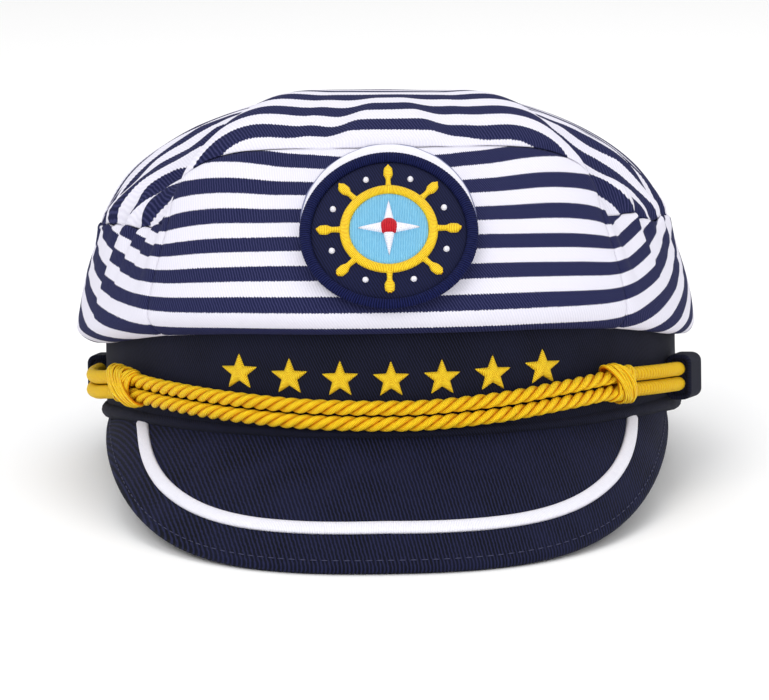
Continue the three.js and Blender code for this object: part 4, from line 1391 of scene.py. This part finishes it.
def knot_strand(angle, wrap, shift, spread):
    centre = cord_point(angle)
    along = (cord_point(angle + 1) - cord_point(angle - 1)).normalized()
    out = along.cross(Vector((0, 0, 1))).normalized()
    up_way = out.cross(along)
    fullness = wrap["size"] * (1 + WRAP_UNEVENNESS * sin(shift * 2.3 + wrap["lean"]))
    high = KNOT_HEIGHT / 2 * fullness - STRAND_RADIUS
    deep = KNOT_DEPTH / 2 * fullness - STRAND_RADIUS

    def middle(turn):
        wobble = STRAND_WOBBLE * sin(2 * turn + shift)
        lengthwise = shift + spread * (wrap["shift"] - wrap["lean"] * sin(turn)) + wobble
        return centre + along * lengthwise + up_way * high * sin(turn) + out * deep * cos(turn)

    def surface(across, up):
        turn = across * tau
        here = middle(turn)
        way = (middle(turn + 0.02) - middle(turn - 0.02)).normalized()
        side = way.cross(along).normalized()
        over = way.cross(side)
        roll = up * tau
        point = here + STRAND_RADIUS * turned(side, over, roll)
        return point, (roll * STRAND_RADIUS + turn * STRAND_FIBRE_SLANT, turn * high)

    return shaped_grid(64, 8, surface, crease=lambda _, up: crease_depth(-cos(up * tau)))


for row in KNOTS:
    name, spread = row["name"], row["spread"]
    strands = []
    for wrap in KNOT_WRAPS:
        step = STRAND_STEP * hypot(1, spread * wrap["lean"] / (KNOT_HEIGHT / 2))
        for i in range(wrap["strands"]):
            shift = row["shift"] + (i - (wrap["strands"] - 1) / 2) * step
            strands.append(knot_strand(row["angle"], wrap, shift, spread))
    piece("gold_" + name, faced_out(joined(strands)), gold_rope, "gold_cord", name)

# %% [markdown]
# A folded strip of the band's twill is sewn over the cord's ends at each side. It is a flat sleeve: a
# rounded section carried along the band, with both walls and their turned edges in one closed loop. It
# widens a little towards the back, and the cloth that is tucked in round the cords fills it.

# %% Keepers
KEEPER_LEFT = -100
KEEPER_RIGHT = 72
KEEPER_CORNER = 1.8
KEEPER_FLARE = 1
KEEPER_TUCK = 1
keeper_outline = rounded_box(keeper_depth - KEEPER_WALL, keeper_height - KEEPER_WALL, KEEPER_CORNER, 6)
keeper_edge = rounded_box(KEEPER_LENGTH, KEEPER_WALL, KEEPER_WALL * 0.45, 4)


def keeper_grid(angle):
    heading = (around(angle + 0.5, 0, 0) - around(angle - 0.5, 0, 0)).normalized()
    out = heading.cross(Vector((0, 0, 1)))
    centre = around(angle, keeper_seat, route_height(angle))

    def placed(spot, lengthwise):
        to_back = 0.5 + copysign(lengthwise / KEEPER_LENGTH, angle * lengthwise)
        flare = KEEPER_FLARE * to_back * (0.5 + spot.x / keeper_depth)
        return centre + out * (spot.x + flare) + Vector((0, 0, spot.y)) + heading * lengthwise

    def sleeve(across, up):
        spot = along_outline(keeper_outline, across)
        ahead = along_outline(keeper_outline, (across + 0.004) % 1)
        way = (ahead - spot).normalized()
        edge = along_outline(keeper_edge, up)
        spot = spot + Vector((way.y, -way.x)) * edge.y
        return placed(spot, edge.x), (across * 2 * (keeper_depth + keeper_height), edge.x)

    def tucked(across, up):
        reach = min(1, 4 * up, 4 * (1 - up))
        spot = along_outline(keeper_outline, across) * reach
        lengthwise = (KEEPER_LENGTH / 2 - KEEPER_TUCK) * min(1, max(-1, 4 * up - 2))
        return placed(spot, lengthwise), (spot.x, spot.y)

    return faced_out(joined([shaped_grid(96, 48, sleeve), shaped_grid(48, 16, tucked)]))


for name, angle in (("keeper_left", KEEPER_LEFT), ("keeper_right", KEEPER_RIGHT)):
    piece("twill_" + name, keeper_grid(angle), band_twill, "navy_twill", name)

# %% [markdown]
# The badge lies on the leaning front panel. Its parts are drawn flat, x to the right and y up the panel,
# and one function lays a flat point on the panel's curve at a height above it.

# %% The front panel as a drawing board
BADGE_HEIGHT = 56.4
BADGE_DROP = 0.7
BADGE_TALL = 1.07
PLACE_STEPS = 5
DOME_CROWDING = 1.7
BLUNT_TIP = 0.97
badge_share = (BADGE_HEIGHT - FRONT_BULGE) / (FRONT_SEAM - FRONT_BULGE)
panel_length = arc_lengths(0)[-1]


@cache
def front_point(angle, share):
    curve = wall_rise(angle)
    inside = clamp(share)
    past = (share - inside) * panel_length
    return cubic(curve, inside) + cubic_way(curve, inside) * past


@cache
def front_place(x, y):
    share = badge_share + y / panel_length
    angle = 0.0
    for _ in range(PLACE_STEPS):
        width = HALF_WIDTH + front_point(angle, share).x
        angle = angle_at(x, width)
    spot = front_point(angle, share)
    return around(angle, spot.x, spot.y)


def on_front(x, y, height):
    across = front_place(x + 1, y) - front_place(x - 1, y)
    along = front_place(x, y + 1) - front_place(x, y - 1)
    return front_place(x, y) + across.cross(along).normalized() * height


def on_badge(x, y, height):
    """The badge is a little taller than wide, and its weight lets it hang slightly low."""
    return on_front(x, y * BADGE_TALL - BADGE_DROP, height)


def on_band(x, y, height):
    return around(angle_at(x, HALF_WIDTH), height, y)


def dial(radius, turn):
    """The flat point at a radius, turned to the left from the top."""
    return -radius * sin(turn), radius * cos(turn)


def star_outline(points, outer, inner):
    """A star's radius by turn, with a point at the top and slightly blunt tips."""
    sector = pi / points

    def radius(turn):
        from_tip = turn % (2 * sector)
        from_tip = min(from_tip, 2 * sector - from_tip)
        edge = outer * inner * sin(sector)
        edge /= outer * sin(from_tip) + inner * sin(sector - from_tip)
        return min(edge, outer * BLUNT_TIP)

    return radius


def raised_shape(outline, middle, floor, top, place, columns=80, rows=10, stitches=None, roundness=4):
    """A padded shape round a middle: steep at its rim and gently crowned. A round one has a radius."""

    def surface(across, up):
        turn = across * tau
        reach = 1 - up**DOME_CROWDING
        radius = (outline(turn) if callable(outline) else outline) * reach
        x, y = dial(radius, turn)
        height = floor + (top - floor) * max(0, 1 - reach**roundness) ** 0.5
        stitch = stitches(turn, radius) if stitches else (x, y)
        return place(middle[0] + x, middle[1] + y, height), stitch

    return shaped_grid(columns, rows, surface)


def arm_stitches(points, slant):
    """Stitches that run from each arm's middle out to both its edges, like a feather."""
    sector = pi / points

    def stitch(turn, radius):
        from_tip = (turn + sector) % (2 * sector) - sector
        along = radius * cos(from_tip)
        across = radius * sin(from_tip)
        return along + abs(across) * slant, across

    return stitch


# %% [markdown]
# Behind the badge sits a round pad of plain white cotton, tacked down by hand, so its edge puckers and it
# peeps out above the patch. The patch itself is navy twill with an overlocked edge: thick thread wound
# over the rim in close slanting turns.

# %% Badge pad, patch and overlocked edge
PAD_RADIUS = 25
PAD_THICKNESS = 2.2
PAD_SHIFT = 4.8
PAD_TUCK = 0.55
PAD_TUCK_SIZE = 0.1375
PAD_WOBBLE = 0.012
PAD_WOBBLE_SIZE = 0.18
RIM_SHADE_WIDTH = 0.9
BADGE_RADIUS = 24
BADGE_THICKNESS = 1.2
BORDER_WIDTH = 3
BORDER_HEIGHT = 2
STITCH_HEIGHT = 0.6
ground_floor = GAP + PAD_THICKNESS + GAP
ground_top = ground_floor + BADGE_THICKNESS
border_inner = BADGE_RADIUS - BORDER_WIDTH

white_cotton, tree = new_material("plain_white_cotton")
cloth = cloth_place(tree)
warp, weft = (twill_lines(tree, cloth, 0.7, slant, 0.3) for slant in (0, 90))
weave = reckon(tree, "MULTIPLY", warp, weft)
woven = blend_colours(tree, to_range(tree, weave, -1, 1), "#DDDCE9", "#E8E7F1")
from_middle = add(tree, "ShaderNodeVectorMath", {0: cloth}, operation="LENGTH").outputs["Value"]
# Painted shade: the pad's outer rim, where it rolls down to the panel, is painted grey-blue (#6F7396).
rim_shade = to_range(tree, from_middle, PAD_RADIUS - RIM_SHADE_WIDTH, PAD_RADIUS - RIM_SHADE_WIDTH / 2)
bump = raised(tree, weave, 0.06, 0.6)
colour = blend_colours(tree, rim_shade, woven, "#6F7396")
show(tree, colour, 0.9, {"Specular IOR Level": 0.2, "Normal": bump})


def pad_radius(turn):
    return PAD_RADIUS * (1 + PAD_WOBBLE * ruffle(cos(turn), sin(turn), PAD_WOBBLE_SIZE, seed=4.4))


def pad_surface(across, up):
    """The pad's top, which puckers towards its tacked edge."""
    turn = across * tau
    reach = 1 - up**1.5
    x, y = dial(pad_radius(turn) * reach, turn)
    tuck = ruffle(cos(turn), sin(turn), PAD_TUCK_SIZE, seed=8.8) * PAD_TUCK * reach**3
    height = GAP + PAD_THICKNESS * max(0, 1 - reach**5) ** 0.5 + tuck * (1 - reach**12)
    return on_badge(x, y + PAD_SHIFT, height), (x, y)


piece("white_badge_pad", shaped_grid(180, 20, pad_surface), white_cotton, "white_cotton", "badge_pad")

patch_twill = navy_cloth("navy_patch_twill", "#0D1026", "#1B1F42", 118, 0.7)
patch = raised_shape(border_inner + 0.6, (0, 0), ground_floor, ground_top, on_badge, 96, 12, None, 12)
piece("twill_badge_patch", patch, patch_twill, "navy_twill", "badge_ground")

RIDGE_PITCH = 0.95
RIDGE_DEPTH = 0.1
border_ridges = round(tau * BADGE_RADIUS / RIDGE_PITCH)


def border_surface(across, up):
    turn = across * tau
    roll = up * tau
    ridge = RIDGE_DEPTH * abs(sin(border_ridges * turn / 2 + roll))
    wide = BORDER_WIDTH / 2 + ridge
    tall = BORDER_HEIGHT / 2 + ridge
    radius = BADGE_RADIUS - BORDER_WIDTH / 2 + wide * cos(roll)
    height = ground_floor + BORDER_HEIGHT / 2 + tall * sin(roll)
    return on_badge(*dial(radius, turn), height), (turn * BADGE_RADIUS, roll * BORDER_WIDTH / 2)


border = shaped_grid(border_ridges * 5, 16, border_surface)
piece("overlocked_badge_edge", faced_out(border), navy_overlock, "navy_thread", "badge_border")

# %% [markdown]
# The emblem is embroidered: a ship's wheel in gold, a compass star in white on a light blue field and a
# red hub. Each shape is padded satin stitch, so it has rounded sides and its threads run across it. A
# small white knot sits between each two of the wheel's handles.

# %% Embroidered emblem
WHEEL_RADIUS = 13.2
WHEEL_RIM = 2.6
HANDLE_REACH = 19.4
SPOKE_COUNT = 8
COMPASS_RADIUS = 8.6
COMPASS_WAIST = 2.2
HUB_RADIUS = 2.4
stitch_top = ground_top + GAP + STITCH_HEIGHT
compass_top = stitch_top + GAP + STITCH_HEIGHT
hub_top = compass_top + GAP + STITCH_HEIGHT
stitch_floor = ground_top - 0.1
field_radius = WHEEL_RADIUS - WHEEL_RIM + 0.2


def rim_surface(across, up):
    turn = across * tau
    roll = up * pi
    radius = WHEEL_RADIUS - WHEEL_RIM / 2 + WHEEL_RIM / 2 * cos(roll)
    height = stitch_floor + (stitch_top + 0.1 - stitch_floor) * sin(roll) ** 0.6
    return on_badge(*dial(radius, turn), height), (turn * WHEEL_RADIUS, radius)


HANDLE_SHAPE = table(
    "along half",
    (0, 0.9),
    (0.15, 0.75),
    (0.35, 0.7),
    (0.6, 1.35),
    (0.85, 1.25),
    (1, 0.25),
)
handle_half = column(HANDLE_SHAPE, "half", "along")


def handle_grid(turn):
    start = WHEEL_RADIUS - 0.4
    radial = Vector(dial(1, turn))
    sideways = Vector((radial.y, -radial.x))

    def surface(across, up):
        roll = across * pi
        half_width = handle_half(up)
        spot = radial * mix(start, HANDLE_REACH, up) - sideways * half_width * cos(roll)
        height = stitch_floor + (stitch_top - stitch_floor) * sin(roll) ** 0.6
        return on_badge(spot.x, spot.y, height), (up * (HANDLE_REACH - start), half_width * cos(roll))

    return shaped_grid(8, 18, surface)


wheel_parts = [shaped_grid(160, 10, rim_surface)]
wheel_parts += [handle_grid(spoke * tau / SPOKE_COUNT) for spoke in range(SPOKE_COUNT)]
piece("gold_stitched_wheel", joined(wheel_parts), gold_satin, "gold_thread", "emblem_wheel")

field = raised_shape(field_radius, (0, 0), stitch_floor, stitch_top - 0.2, on_badge, 64, 10, None, 10)
piece("blue_stitched_field", field, blue_satin, "blue_thread", "emblem_field")

COMPASS_POINTS = 4
points = star_outline(COMPASS_POINTS, COMPASS_RADIUS, COMPASS_WAIST)
feathered = arm_stitches(COMPASS_POINTS, 0.5)
compass = raised_shape(points, (0, 0), stitch_top - 0.4, compass_top + 0.2, on_badge, 96, 12, feathered)
piece("white_stitched_compass", compass, white_satin, "white_thread", "emblem_compass")

hub = raised_shape(HUB_RADIUS, (0, 0), stitch_top, hub_top, on_badge, 32, 8)
piece("red_stitched_hub", hub, red_satin, "red_thread", "emblem_hub")

KNOT_RING = 16.4
KNOT_SIZE = 0.85
french_knots = []
for spoke in range(SPOKE_COUNT):
    turn = (spoke + 0.5) * tau / SPOKE_COUNT
    spot = dial(KNOT_RING, turn)
    french_knots.append(raised_shape(KNOT_SIZE, spot, stitch_floor, stitch_top, on_badge, 12, 5, None, 2))
piece("white_knots_round_the_wheel", joined(french_knots), white_satin, "white_thread")

# %% [markdown]
# Seven small stars run along the band. On a star the threads run from the middle of each arm out to its
# edges, which leaves a fine ridge down every arm.

# %% Stars
STAR_RADIUS = 5.5
STAR_WAIST = 0.42
STAR_COUNT = 7
STAR_PITCH = 14.1
STAR_HEIGHT = 16.4
STAR_ROW_LIFT = 1.8
STAR_TOP = GAP + STITCH_HEIGHT + 0.3
points = star_outline(5, STAR_RADIUS, STAR_RADIUS * STAR_WAIST)
feathered = arm_stitches(5, 0.6)
for index in range(STAR_COUNT):
    place = 2 * index / (STAR_COUNT - 1) - 1
    middle = (place * STAR_PITCH * (STAR_COUNT - 1) / 2, STAR_HEIGHT + STAR_ROW_LIFT * place**2)
    star = raised_shape(points, middle, -0.2, STAR_TOP, on_band, 80, 12, feathered, 3)
    piece(f"gold_star_{index + 1}", star, gold_satin, "gold_thread", f"star_{index + 1}")

# %% [markdown]
# A row of navy machine stitches follows the peak's edge and holds its two covers together. A stitch is a
# short fat thread that dips into the cloth at both ends.

# %% Rows of stitches
STITCH_LENGTH = 2.3
STITCH_STEP = 3
STITCHES_FROM_EDGE = 2.9
STITCHES_HALF_ANGLE = 80
STITCH_RISE = 0.02
THREAD_RADIUS = 0.17


def edge_spot(angle):
    root, edge = peak_ends(angle)
    way = 1 - STITCHES_FROM_EDGE / (edge - root).length
    return peak_point(angle, way) + peak_normal(angle) * STITCH_RISE


def add_stitch(row, angle):
    """A flattened bead that lies along the edge, for a stitch at an angle."""
    along = (edge_spot(angle + NEARBY) - edge_spot(angle - NEARBY)).normalized()
    out = peak_normal(angle)
    out = (out - along * out.dot(along)).normalized()
    turn = Matrix((out.cross(along), along, out)).transposed().to_4x4()
    size = Matrix.Diagonal((THREAD_RADIUS, STITCH_LENGTH / 2, THREAD_RADIUS * 1.4, 1))
    made = bmesh.ops.create_uvsphere(row, u_segments=6, v_segments=4, radius=1)["verts"]
    matrix = CAP @ Matrix.Translation(edge_spot(angle)) @ turn @ size
    bmesh.ops.transform(row, matrix=matrix, verts=made)


navy_thread, tree = new_material("navy_sewing_thread")
show(tree, blend_colours(tree, blotches(tree, 4000, 1), "#181B35", "#2C3054"), 0.6)
stitches = bmesh.new()
angle, travelled = -STITCHES_HALF_ANGLE, 0
before = edge_spot(angle)
while angle < STITCHES_HALF_ANGLE:
    angle += NEARBY
    here = edge_spot(angle)
    travelled += (here - before).length
    before = here
    if travelled >= STITCH_STEP:
        travelled -= STITCH_STEP
        add_stitch(stitches, angle)
stitches.loops.layers.uv.new("cloth")
piece("peak_edge_stitches", stitches, navy_thread, "navy_thread")
